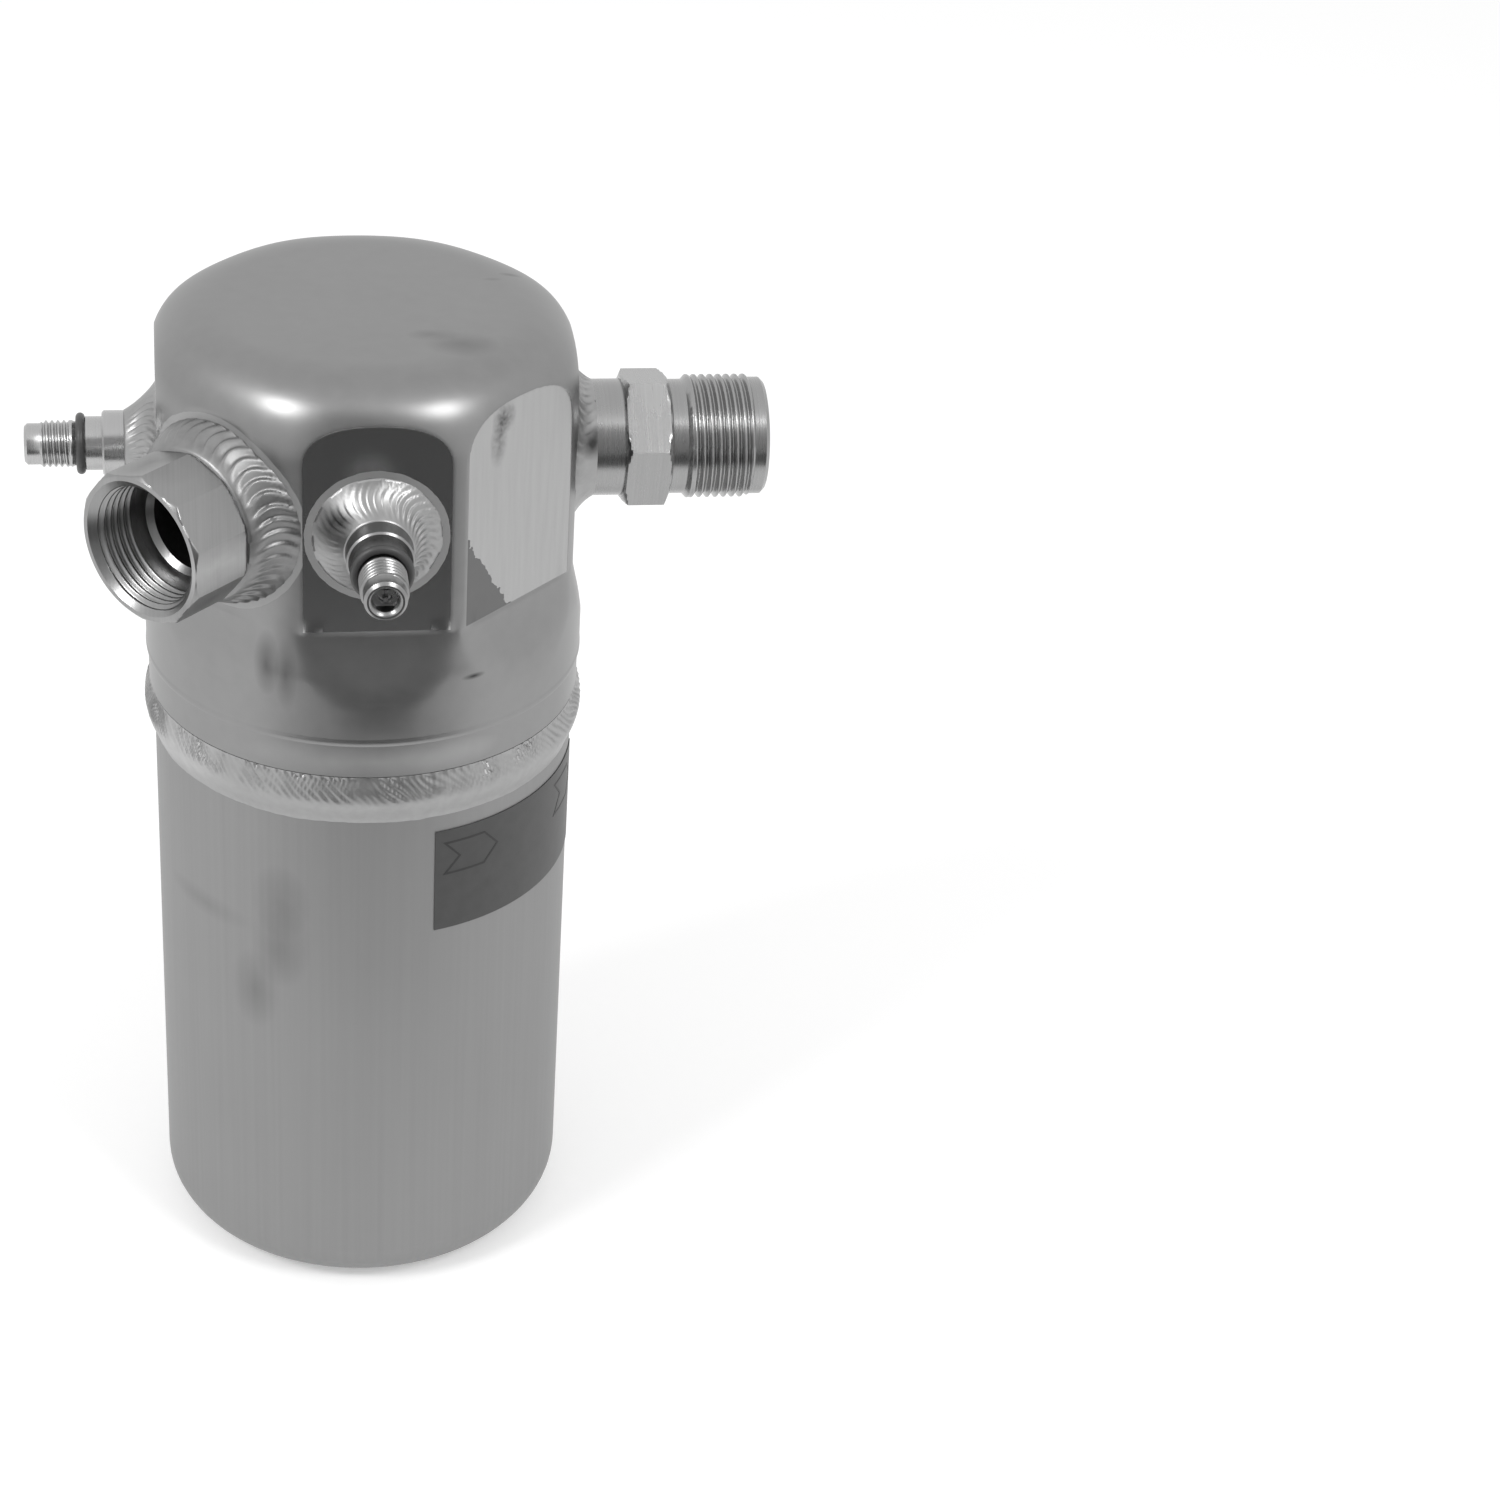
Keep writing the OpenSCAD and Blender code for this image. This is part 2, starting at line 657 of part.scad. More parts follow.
// Wire coil of the valve's spring, closed at both ends
module valve_spring(angle) {
  per_turn = 10;
  sides = 5;
  steps = spring_turns * per_turn;
  rise = spring_top - spring_foot - spring_wire - 2 * touch;
  points = [for (i = [0 : steps], j = [0 : sides - 1])
    let (a = i * 360 / per_turn, b = j * 360 / sides,
      r = spring_mean_r + spring_wire / 2 * cos(b))
    [r * cos(a), r * sin(a), rise * i / steps + spring_wire / 2 * sin(b)]];
  sheath = [for (i = [0 : steps - 1], j = [0 : sides - 1])
    let (k = (j + 1) % sides)
    each quad(i * sides + j, i * sides + k, (i + 1) * sides + k, (i + 1) * sides + j)];
  caps = [[for (j = [sides - 1 : -1 : 0]) j], [for (j = [0 : sides - 1]) steps * sides + j]];
  color([0.6, 0.6, 0.6]) at_port(angle)
    translate([0, 0, spring_foot + spring_wire / 2 + touch]) polyhedron(points, concat(sheath, caps));
}

// Path of the suction tube, as a solid rod of radius r
module tube_run(r) {
  at_port(outlet_angle) bar(r, leg_offset + elbow_r, tube_end - touch);
  translate([leg_offset + elbow_r, 0, elbow_height]) rotate([90, 0, 0]) rotate([0, 0, 90])
    rotate_extrude(angle = 90) translate([elbow_r, 0]) circle(r);
  translate([leg_offset, 0, bend_centre]) cylinder(r = r, h = elbow_height - bend_centre);
  translate([0, 0, bend_centre]) rotate([90, 0, 0]) rotate([0, 0, 180])
    rotate_extrude(angle = 180) translate([leg_offset, 0]) circle(r);
  translate([-leg_offset, 0, bend_centre]) cylinder(r = r, h = mouth_height - bend_centre);
}

module suction_tube() {
  color([0.74, 0.74, 0.75]) difference() {
    tube_run(tube_r);
    tube_run(tube_r - tube_wall);
    translate([-leg_offset, 0, mouth_height - 1]) cylinder(r = tube_r - tube_wall, h = 2);
    at_port(outlet_angle) bar(tube_r - tube_wall, tube_end - 1, tube_end + 1);
    translate([0, 0, bend_height - tube_r - 1]) cylinder(d = oil_hole_d, h = tube_r);
  }
}

// Cup with a fine mesh that hangs under the bend and keeps dirt out of the oil hole
module oil_screen() {
  color([0.85, 0.84, 0.8]) difference() {
    translate([0, 0, screen_foot]) cylinder(d = screen_d, h = bend_height - screen_foot);
    tube_run(tube_r + slip);
  }
}

// Bell over the tube's mouth, held by three tabs
module vapour_deflector() {
  r = bell_bore / 2;
  color([0.7, 0.7, 0.72]) translate([-leg_offset, 0, 0]) difference() {
    union() {
      ring(r, r + bell_wall, bell_foot, bell_top - 1);
      bar(r + bell_wall, bell_top - bell_wall, bell_top);
      for (a = [60 : 120 : 300]) rotate([0, 0, a])
        translate([0, -tab_wall / 2, mouth_height - tab_height - 4])
          cube([r + bell_wall / 2, tab_wall, tab_height]);
    }
    bar(tube_r + slip, bell_foot - 1, mouth_height);
  }
}

// Felt bag of drying beads: two pillows joined by a web that passes between the tube's legs
module desiccant_bag() {
  slot = 2 * (tube_r + soft_gap);
  color([0.88, 0.87, 0.82]) difference() {
    rotate_extrude() intersection() {
      domed_profile(bag_d / 2, bag_foot - bag_round, bag_foot + bag_height, bag_round);
      translate([0, 2 * bag_foot + bag_height]) mirror([0, 1])
        domed_profile(bag_d / 2, bag_foot - bag_round, bag_foot + bag_height, bag_round);
    }
    for (side = [0, 180]) rotate([0, 0, side])
      translate([leg_offset - tube_r - soft_gap, -slot / 2, bag_foot - 1])
        cube([bag_d, slot, bag_height + 2]);
  }
}

module bag_tie() {
  middle = bag_foot + bag_height / 2;
  color([0.15, 0.15, 0.15]) {
    ring(bag_d / 2 + soft_gap / 3, bag_d / 2 + soft_gap / 3 + tie_wall, middle - tie_width / 2,
      middle + tie_width / 2);
    rotate([0, 0, 90]) translate([bag_d / 2 + tie_wall / 2, -tie_width / 2, middle - tie_width / 2 - 1])
      cube([tie_wall + 2.4, tie_width, tie_width + 2]);
  }
}

module label() {
  color([0.36, 0.36, 0.37]) rotate([0, 0, label_from]) rotate_extrude(angle = label_angle)
    translate([can_r + touch, label_foot]) square([label_wall, label_height]);
}

lower_shell();
upper_shell();
girth_weld();
inlet_fitting();
inlet_weld();
outlet_fitting();
outlet_weld();
service_port(front_angle);  // front_port
service_weld(front_angle);  // front_port_weld
service_ring(front_angle);  // front_port_ring
valve_core(front_angle);  // front_valve_core
core_gasket(front_angle);  // front_core_gasket
valve_pin(front_angle);  // front_valve_pin
valve_seal(front_angle);  // front_valve_seal
valve_spring(front_angle);  // front_valve_spring
service_port(side_angle);  // side_port
service_weld(side_angle);  // side_port_weld
service_ring(side_angle);  // side_port_ring
valve_core(side_angle);  // side_valve_core
core_gasket(side_angle);  // side_core_gasket
valve_pin(side_angle);  // side_valve_pin
valve_seal(side_angle);  // side_valve_seal
valve_spring(side_angle);  // side_valve_spring
suction_tube();
oil_screen();
vapour_deflector();
desiccant_bag();
bag_tie();
label();
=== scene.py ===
import json
import math

import bpy
from mathutils import Matrix, Vector, noise


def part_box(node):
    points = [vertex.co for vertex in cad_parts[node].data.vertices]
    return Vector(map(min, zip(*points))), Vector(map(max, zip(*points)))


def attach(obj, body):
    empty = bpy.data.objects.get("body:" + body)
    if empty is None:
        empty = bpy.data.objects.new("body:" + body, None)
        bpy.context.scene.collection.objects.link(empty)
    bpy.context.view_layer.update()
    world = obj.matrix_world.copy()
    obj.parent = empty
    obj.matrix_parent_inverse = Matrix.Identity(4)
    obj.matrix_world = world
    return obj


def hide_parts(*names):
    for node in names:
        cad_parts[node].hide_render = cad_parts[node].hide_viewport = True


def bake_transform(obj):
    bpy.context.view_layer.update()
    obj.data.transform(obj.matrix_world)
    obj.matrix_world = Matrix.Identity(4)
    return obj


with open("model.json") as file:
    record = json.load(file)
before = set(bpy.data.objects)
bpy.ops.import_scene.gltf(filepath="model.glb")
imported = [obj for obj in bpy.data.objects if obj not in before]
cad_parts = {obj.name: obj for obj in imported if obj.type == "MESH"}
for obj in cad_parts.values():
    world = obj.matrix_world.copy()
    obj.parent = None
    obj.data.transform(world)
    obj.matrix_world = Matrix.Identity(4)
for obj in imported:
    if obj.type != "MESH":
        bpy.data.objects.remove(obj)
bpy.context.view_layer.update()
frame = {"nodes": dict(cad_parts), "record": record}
print("frame loaded")

# Sizes that come from the frame. All sizes are in millimetres until they reach a mesh.
mm = 0.001
mounts = {mount["name"]: mount for mount in frame["record"]["mounts"]}
headLow, headHigh = [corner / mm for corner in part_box("upper_shell")]
lipHeight, headTop = headLow.z, headHigh.z
skirtRadius = headHigh.x
canRadius = (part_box("lower_shell")[1] / mm).x
beadFoot = (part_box("girth_weld")[0] / mm).z
labelFoot = (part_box("label")[0] / mm).z
fittingInside, outletReach = [(corner / mm).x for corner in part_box("outlet_fitting")]
serviceReach = -(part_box("side_port")[0] / mm).x
portHeight = mounts["outlet_thread"]["pos_m"][2] / mm
portAngles = {"outlet": 0, "side": 180, "inlet": 225, "front": 270}
eighth = math.pi / 4        # turn from one flat of the head to the next

head = {
    # Distance of each milled flat from the axis, and its turn in degrees, from the flat at 45 degrees on
    "flats": [(44.3, 0), (44.3, 0), (44.3, 0), (44.3, 0), (45.3, 0), (44.3, 0), (43.9, -0.8), (44.3, 0)],
    "round": 46.52,         # mean radius of the forging that the flats are milled into
    "wave": 0.42,           # half the height of its soft ridges between the flats
    "topFace": 30,          # radius where the flat top starts
    "shoulder": 18,         # height of the round between the top and the side
    "shoulderCurve": 0.8,   # below 1 the round is fuller than an ellipse
    "flatLength": 55,
    "ledge": 0.25,
    "scoopDrop": 16,        # height over which a flat runs out into the skirt
    "scoopCurve": 1.2,
    "scoopEdge": 1.3,       # width over which the scoop's edge is softened
    "skirtCurve": 1.4,
    "bandHeight": 8,
    "bandDepth": 0.4,
    "lipEdge": 0.15,
    "ridge": {"height": 0.12, "width": 1.6, "rows": (0.2, 1.8)},       # raised ring above the band
    "columns": 576,
    "inside": [(28, 228.3), (36, 227.5), (39.6, 224.5), (41.3, 219.3), (41.3, 172.3), (44.6, 161.5),
               (44.6, 155.5), (46.65, 155.5)],
}
flatsFrom = headTop - head["flatLength"]


def mix(a, b, t):
    return a + (b - a) * t


def smoothStep(x):
    x = min(1, max(0, x))
    return x * x * (3 - 2 * x)


def softMin(a, b, width):
    near = max(width - abs(a - b), 0) / width
    return min(a, b) - near * near * width / 4


def arch(s):
    return 4 * s * (1 - s)


def span(start, end, count):
    return [mix(start, end, i / count) for i in range(count + 1)]


# Height across one weld ripple: a slow rise and a quick round drop
def scale(x):
    x -= math.floor(x)
    return x / 0.76 if x < 0.76 else 0.5 + 0.5 * math.cos((x - 0.76) / 0.24 * math.pi)


# A noise with its strength and scale, at a place or lifted above it
def noiseAt(place, habit, lift=0):
    strength, scaling = habit
    return strength * noise.noise(place * scaling + Vector((0, 0, lift)))


def portPoint(angle, along, out, turn):
    a = math.radians(angle)
    across = out * math.cos(turn)
    return Vector((math.cos(a) * along - math.sin(a) * across,
                   math.sin(a) * along + math.cos(a) * across,
                   portHeight + out * math.sin(turn)))


def makePiece(name, vertices, faces, body="root", sharpAngle=35):
    mesh = bpy.data.meshes.new(name)
    mesh.from_pydata([v * mm for v in vertices], [], faces)
    mesh.validate()
    piece = bpy.data.objects.new(name, mesh)
    bpy.context.scene.collection.objects.link(piece)
    finishShading(mesh, sharpAngle)
    if body:
        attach(piece, body)
    return piece


def finishShading(mesh, sharpAngle):
    mesh.polygons.foreach_set("use_smooth", [True] * len(mesh.polygons))
    mesh.set_sharp_from_angle(angle=math.radians(sharpAngle))
    mesh.update()


# A skin over rows of points; a row of one point closes it, and wrap joins the last row to the first.
def skinPiece(name, rows, wrap=False, flip=False, **options):
    vertices, starts, faces = [], [], []
    for row in rows:
        starts.append(len(vertices))
        vertices += row
    for i in range(len(rows) if wrap else len(rows) - 1):
        k = (i + 1) % len(rows)
        a, b = starts[i], starts[k]
        n, m = len(rows[i]), len(rows[k])
        for j in range(max(n, m)):
            j2 = (j + 1) % max(n, m)
            if n == 1:
                face = (a, b + j2, b + j)
            elif m == 1:
                face = (a + j, a + j2, b)
            else:
                face = (a + j, a + j2, b + j2, b + j)
            faces.append(face[::-1] if flip else face)
    return makePiece(name, vertices, faces, **options)


# Head

def flatAt(turn):
    number = round(turn / eighth)
    flat, lean = head["flats"][(number - 1) % 8]
    return flat, turn - number * eighth - math.radians(lean)


def forgedRadius(turn):
    return head["round"] - head["wave"] * math.cos(8 * turn)


def milledRadius(turn, forged):
    flat, off = flatAt(turn)
    return min(forged, flat / math.cos(off))


def skirtSide(turn, z):
    if z < lipHeight + head["bandHeight"]:
        return skirtRadius - head["bandDepth"]
    above = z - lipHeight - head["bandHeight"]
    raised = head["ridge"]["height"] * arch(min(1, above / head["ridge"]["width"]))
    run = (flatsFrom - z) / head["scoopDrop"]
    if run > 1:
        return skirtRadius + raised
    flat, off = flatAt(turn)
    foot = flat + head["ledge"]
    slope = (foot + (skirtRadius - foot) * max(run, 0) ** head["scoopCurve"]) / math.cos(off)
    skirt = mix(forgedRadius(turn) + 0.05, skirtRadius, smoothStep(run * head["skirtCurve"]))
    return softMin(skirt, slope, head["scoopEdge"])


def headTopPoint(turn, lift):
    curve = head["shoulderCurve"]
    radius = head["topFace"] + (forgedRadius(turn) - head["topFace"]) * max(0, math.cos(lift)) ** curve
    return milledRadius(turn, radius), headTop - head["shoulder"] * (1 - math.sin(lift) ** curve)


def makeHead():
    turns = [2 * math.pi * i / head["columns"] for i in range(head["columns"])]

    def ring(pointAt):
        row = []
        for turn in turns:
            radius, z = pointAt(turn)
            row.append(Vector((radius * math.cos(turn), radius * math.sin(turn), z)))
        return row

    rows = [[Vector((0, 0, head["inside"][0][1]))]]
    rows += [ring(lambda turn: place) for place in head["inside"]]
    inner = head["inside"][-1][0]
    lip = skirtRadius - head["bandDepth"]
    rows += [ring(lambda turn: (inner, lipHeight)),
             ring(lambda turn: (lip - head["lipEdge"], lipHeight)),
             ring(lambda turn: (lip, lipHeight + head["lipEdge"]))]

    bandTop = lipHeight + head["bandHeight"]
    ridgeFrom, ridgeTo = [bandTop + row for row in head["ridge"]["rows"]]
    scoopFoot = flatsFrom - head["scoopDrop"]
    heights = [bandTop - 0.25, bandTop + 0.01] + span(ridgeFrom, ridgeTo, 7)
    heights += [scoopFoot - 1.5, scoopFoot] + span(scoopFoot + 0.7, flatsFrom - 0.5, 22)
    rows += [ring(lambda turn: (skirtSide(turn, z), z)) for z in heights]

    for z in span(flatsFrom, headTop - head["shoulder"] - 1, 10):
        rows.append(ring(lambda turn: (milledRadius(turn, forgedRadius(turn)), z)))
    # Rows up the shoulder lie close together where it meets the flats.
    lifts = span(0.01, 0.85, 30) + span(0.9, 1.56, 14)
    rows += [ring(lambda turn: headTopPoint(turn, lift)) for lift in lifts]
    # Rings across the flat top
    for share in (0.97, 0.9, 0.75, 0.5, 0.25):
        rows.append(ring(lambda turn: (head["topFace"] * share, headTop)))
    rows.append([Vector((0, 0, headTop))])
    return skinPiece("headShell", rows, sharpAngle=25)


drill = {"sides": 64, "from": 35, "to": 65, "clearance": 0.05}


# Cuts the four holes that the fittings pass through.
def drillHead(piece):
    tools = []
    for port in ("outlet", "inlet", "front", "side"):
        radius = (portWelds[port]["shank"] + drill["clearance"]) * mm
        length = (drill["to"] - drill["from"]) * mm
        bpy.ops.mesh.primitive_cylinder_add(vertices=drill["sides"], radius=radius, depth=length)
        tool = bpy.context.object
        out = portPoint(portAngles[port], (drill["from"] + drill["to"]) / 2, 0, 0) * mm
        turned = Vector((out.x, out.y, 0)).to_track_quat("Z", "X").to_matrix().to_4x4()
        tool.matrix_world = Matrix.Translation(out) @ turned
        tools.append(tool)
    for tool in tools:
        cut = piece.modifiers.new("hole", "BOOLEAN")
        cut.operation, cut.object, cut.solver = "DIFFERENCE", tool, "EXACT"
    bpy.context.view_layer.update()
    cutMesh = bpy.data.meshes.new_from_object(piece.evaluated_get(bpy.context.evaluated_depsgraph_get()))
    piece.modifiers.clear()
    piece.data = cutMesh
    finishShading(cutMesh, 25)
    for tool in tools:
        bpy.data.objects.remove(tool)


# Welds

# Distance of the head's skin from its axis, beside a port
def headFace(across):
    return min(head["flats"][-1][0], math.sqrt(head["round"] ** 2 - across ** 2))


portWelds = {
    "inlet": {"node": "inlet_weld", "shank": 14, "width": 6.4, "root": 2.4, "rise": 9.0, "bulge": 0.6,
              "ripples": 42, "depth": 0.75, "curl": 1.15, "liveliest": 15, "smoothFrom": 0.92},
    "outlet": {"node": "outlet_weld", "shank": 12.7, "width": 4.9, "root": 0.05, "rise": 4.8, "bulge": -0.5,
               "ripples": 40, "depth": 0.25, "curl": 1.0, "liveliest": 60, "smoothFrom": 1.0},
    "front": {"node": "front_port_weld", "shank": 7, "width": 6.4, "root": 0.05, "rise": 6.9, "bulge": -0.5,
              "ripples": 40, "depth": 0.42, "curl": 1.6, "liveliest": -10, "smoothFrom": 0.95},
    "side": {"node": "side_port_weld", "shank": 7, "width": 6.4, "root": 0.05, "rise": 6.9, "bulge": -0.5,
             "ripples": 40, "depth": 0.42, "curl": 1.6, "liveliest": -10, "smoothFrom": 0.95},
}


# What all port beads share. Each noise has a strength and a scale.
beadHabit = {"steps": 10, "rows": 16, "calm": 0.2, "sink": 0.3, "gap": 0.03, "fadeIn": 6, "fadeOut": 3.5,
             "wander": (0.3, 3), "unevenness": (0.4, 1.7), "shift": (0.25, 2.5)}


def makePortWeld(port):
    weld = portWelds[port]
    angle = portAngles[port]
    steps = beadHabit["steps"]
    shank = weld["shank"] + beadHabit["gap"]
    foot = weld["shank"] + weld["width"]
    rows = []
    for i in range(weld["ripples"] * steps):
        turn = 2 * math.pi * i / (weld["ripples"] * steps)
        around = Vector((math.cos(turn), math.sin(turn), angle))
        wander, shift = noiseAt(around, beadHabit["wander"]), noiseAt(around, beadHabit["shift"])
        toe = Vector((foot + wander, headFace((foot + wander) * math.cos(turn))))
        root = Vector((weld["shank"] + weld["root"], head["flats"][-1][0] + weld["rise"]))
        line = (root - toe).normalized()
        out = Vector((line.y, -line.x))
        lively = smoothStep(0.4 + 0.9 * math.cos(turn - math.radians(weld["liveliest"])))
        strength = weld["depth"] * (beadHabit["calm"] + (1 - beadHabit["calm"]) * lively)
        strength *= 1 + noiseAt(around, beadHabit["unevenness"])
        profile = []
        for s in span(0, 1, beadHabit["rows"]):
            ripple = 1 - scale(i / steps + shift - weld["curl"] * arch(s))
            fade = smoothStep(s * beadHabit["fadeIn"])
            fade *= smoothStep((weld["smoothFrom"] - s) * beadHabit["fadeOut"])
            lift = weld["bulge"] * arch(s) - strength * ripple * fade
            profile.append(mix(toe, root, s) + out * lift)
        under = [Vector((r, headFace(r * math.cos(turn)) - beadHabit["sink"])) for r in span(shank, foot, 4)]
        rim = [Vector((shank, root.y))]
        rows.append([portPoint(angle, p.y, p.x, turn) for p in profile + rim + under])
    piece = skinPiece(f"{port}Weld", rows, wrap=True, flip=True, sharpAngle=60)
    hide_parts(weld["node"])
    return piece


girth = {
    "ripples": 140, "steps": 8, "rows": 20, "bulge": 1.6, "peak": 1.15, "depth": 0.45, "lean": 7,
    "toe": 0.6, "gap": 0.03, "ripplesFrom": 0.45, "fadeIn": 0.25, "ripplesTo": 1.01, "fadeOut": 0.08,
    "wander": [(0.4, 4), (0.15, 17)], "unevenness": (1.1, 9), "shift": (1.2, 7), "rough": (0.05, 40),
}


def makeGirthWeld():
    rows = []
    stations = girth["ripples"] * girth["steps"]
    wall = canRadius + girth["gap"]
    lip = Vector((skirtRadius - head["bandDepth"], lipHeight - 0.02))
    for i in range(stations):
        turn = 2 * math.pi * i / stations
        place = Vector((math.cos(turn), math.sin(turn), 0))
        wander = sum(noiseAt(place, habit) for habit in girth["wander"])
        toe = Vector((wall, beadFoot + girth["toe"] + wander))
        line = (lip - toe).normalized()
        out = Vector((line.y, -line.x))
        profile = []
        for s in span(0, 1, girth["rows"]):
            fade = smoothStep((s - girth["ripplesFrom"]) / girth["fadeIn"])
            fade *= smoothStep((girth["ripplesTo"] - s) / girth["fadeOut"])
            strength = girth["depth"] * (1 + noiseAt(place, girth["unevenness"], s * 2))
            shift = noiseAt(place, girth["shift"], s)
            ripple = 1 - scale(i / girth["steps"] + shift + girth["lean"] * s)
            bulge = girth["bulge"] * math.sin(math.pi * s ** girth["peak"]) ** girth["peak"]
            rough = noiseAt(place, girth["rough"], s * 6)
            profile.append(mix(toe, lip, s) + out * (bulge + rough - strength * ripple * fade))
        profile.append(Vector((wall, lip.y)))
        rows.append([Vector((p.x * math.cos(turn), p.x * math.sin(turn), p.y)) for p in profile])
    piece = skinPiece("girthBead", rows, wrap=True, flip=True, sharpAngle=60)
    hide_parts("girth_weld")
    return piece


# Turned fittings: each station has its place along the port's axis and its radius, as numbers or as rules.

def turnedPiece(name, angle, stations, columns, firstTurn=0):
    rows = []
    for along, radius in stations:
        row = []
        for j in range(columns):
            turn = math.radians(firstTurn) + 2 * math.pi * j / columns
            place = along(j / columns) if callable(along) else along
            row.append(portPoint(angle, place, radius(place, turn) if callable(radius) else radius, turn))
        rows.append(row)
    piece = skinPiece(name, rows, wrap=True, flip=True, sharpAngle=28)
    return softenThread(piece, stations, columns)


# Rows that follow a helix keep smooth shading, so that the thread's crests stay even.
def softenThread(piece, stations, columns):
    helical = [callable(along) for along, radius in stations]
    for edge in piece.data.edges:
        rowsOfEdge = [vertex // columns for vertex in edge.vertices]
        if all(helical[row] for row in rowsOfEdge):
            edge.use_edge_sharp = False
    return piece


def facetRule(sides, across, start, end, cornerTurn, faceRadius, endRadius, chamfer=25):
    slope = math.tan(math.radians(chamfer))
    pitch = 2 * math.pi / sides

    def radius(along, turn):
        off = (turn - math.radians(cornerTurn)) % pitch - pitch / 2
        flat = across / 2 / math.cos(off)
        return min(flat, faceRadius + (along - start) / slope, endRadius + (end - along) / slope)
    return radius


# Stations along a thread: each row keeps its phase of the thread all the way around.
def threadStations(start, end, pitch, steps, radiusAt):
    stations = []
    for k in range(int((end - start) / pitch * steps)):
        stations.append((lambda share, k=k: start + (k + steps * share % 1) * pitch / steps, radiusAt))
    return stations


# Depth across one turn of a thread, from 0 on the crest to 1 in the valley, both a little flat
def threadValley(place, steps):
    place = round(place * steps) / steps
    place -= math.floor(place)
    return min(1, max(0, (1 - abs(2 * place - 1)) * 1.35 - 0.2))


def threadRule(radius, depth, pitch, start, end, firstTurn, steps):
    def rule(along, turn):
        place = (along - start) / pitch - (turn - math.radians(firstTurn)) / (2 * math.pi)
        fade = smoothStep((along - start) / pitch) * smoothStep((end - along) / pitch)
        return radius - depth * threadValley(place, steps) * fade
    return rule


outlet = {
    "shank": 12.7, "hexFrom": 55.3, "hexTo": 65.5, "hexAcross": 27, "cornerTurn": 47, "neck": 12.5,
    "threadFrom": 69.2, "threadTo": 83.2, "thread": 13.5, "threadDepth": 0.95, "pitch": 25.4 / 14,
    "edges": (0, 0.4, 0.8, 1.1, 1.4, 2.5),      # rows across the hexagon's chamfers
    "lead": 12.8, "chamfer": 0.8, "bore": 9.5, "boreFrom": 56.0, "passage": 6.8, "socket": 8.05,
    "socketTo": 52.0, "columns": 144, "steps": 12,
}


def makeOutlet():
    o = outlet
    face = o["hexAcross"] / 2 - 0.3
    hexagon = facetRule(6, o["hexAcross"], o["hexFrom"], o["hexTo"], o["cornerTurn"], face, face)
    threadFrom, threadTo = o["threadFrom"] + 0.7, o["threadTo"] - 0.1
    thread = threadRule(o["thread"], o["threadDepth"], o["pitch"], threadFrom, threadTo + 1.4,
                        o["cornerTurn"], o["steps"])
    stations = [(fittingInside, o["socket"]), (fittingInside, o["shank"]), (o["hexFrom"], o["shank"])]
    stations += [(o["hexFrom"] + along, hexagon) for along in o["edges"]]
    stations += [(o["hexTo"] - along, hexagon) for along in o["edges"][::-1]]
    stations += [(o["hexTo"], o["neck"] + 0.3), (o["hexTo"] + 0.3, o["neck"]),
                 (o["threadFrom"] - 0.2, o["neck"]), (threadFrom - 0.05, o["thread"] - 0.05)]
    stations += threadStations(threadFrom, threadTo, o["pitch"], o["steps"], thread)
    stations += [(o["threadTo"] + 0.1, o["lead"] + 0.3), (o["threadTo"] + 0.4, o["lead"]),
                 (outletReach - o["chamfer"], o["lead"]), (outletReach, o["lead"] - o["chamfer"]),
                 (outletReach, o["bore"] + 0.5), (outletReach - 0.5, o["bore"]), (o["boreFrom"], o["bore"]),
                 (o["boreFrom"], o["passage"]), (o["socketTo"], o["passage"]), (o["socketTo"], o["socket"])]
    piece = turnedPiece("outletFitting", portAngles["outlet"], stations, o["columns"], o["cornerTurn"])
    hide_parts("outlet_fitting")
    return piece


inlet = {
    "shank": 14, "facesFrom": 52.9, "faces": 10, "across": 31.6, "cornerTurn": 16, "rim": 15.7, "reach": 68.2,
    "chamfer": 42, "footRows": (0, 0.4, 0.8, 1.1, 1.4, 3),
    "rimRows": (3, 1.2, 1.0, 0.85, 0.7, 0.5, 0.25, 0.01),
    "threadDepth": 0.95, "pitch": 25.4 / 14, "threadFoot": 57.2, "groove": 13.7, "grooveLength": 1.6,
    "passage": 9.5, "mouthChamfer": 2.1, "columns": 180, "steps": 12,
}


def makeInlet():
    n = inlet
    face = n["across"] / 2 - 0.3
    outside = facetRule(n["faces"], n["across"], n["facesFrom"], n["reach"], n["cornerTurn"], face, n["rim"],
                        n["chamfer"])
    minor = mounts["inlet_thread"]["dims"]["r_mm"]
    mouth = minor + n["mouthChamfer"]

    def thread(along, turn):
        place = (n["reach"] - along) / n["pitch"] + (turn - math.radians(n["cornerTurn"])) / (2 * math.pi)
        return max(minor + n["threadDepth"] * threadValley(place, n["steps"]), mouth - (n["reach"] - along))

    stations = [(fittingInside, n["passage"]), (fittingInside, n["shank"]), (n["facesFrom"], n["shank"])]
    stations += [(n["facesFrom"] + along, outside) for along in n["footRows"]]
    stations += [(n["reach"] - along, outside) for along in n["rimRows"]]
    stations += [(n["reach"], n["rim"] - 0.05), (n["reach"], mouth)]
    pitchStep = n["pitch"] / n["steps"]
    for k in range(int((n["reach"] - n["threadFoot"]) / pitchStep) - 1):
        stations.append((lambda share, k=k: n["reach"] - (k + 1.05 - n["steps"] * share % 1) * pitchStep,
                         thread))
    stations += [(n["threadFoot"], n["groove"]), (n["threadFoot"] - n["grooveLength"], n["groove"]),
                 (n["threadFoot"] - n["grooveLength"], n["passage"] + 1.2),
                 (n["threadFoot"] - n["grooveLength"] - 1.2, n["passage"])]
    piece = turnedPiece("inletFitting", portAngles["inlet"], stations, n["columns"], n["cornerTurn"])
    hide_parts("inlet_fitting")
    return piece


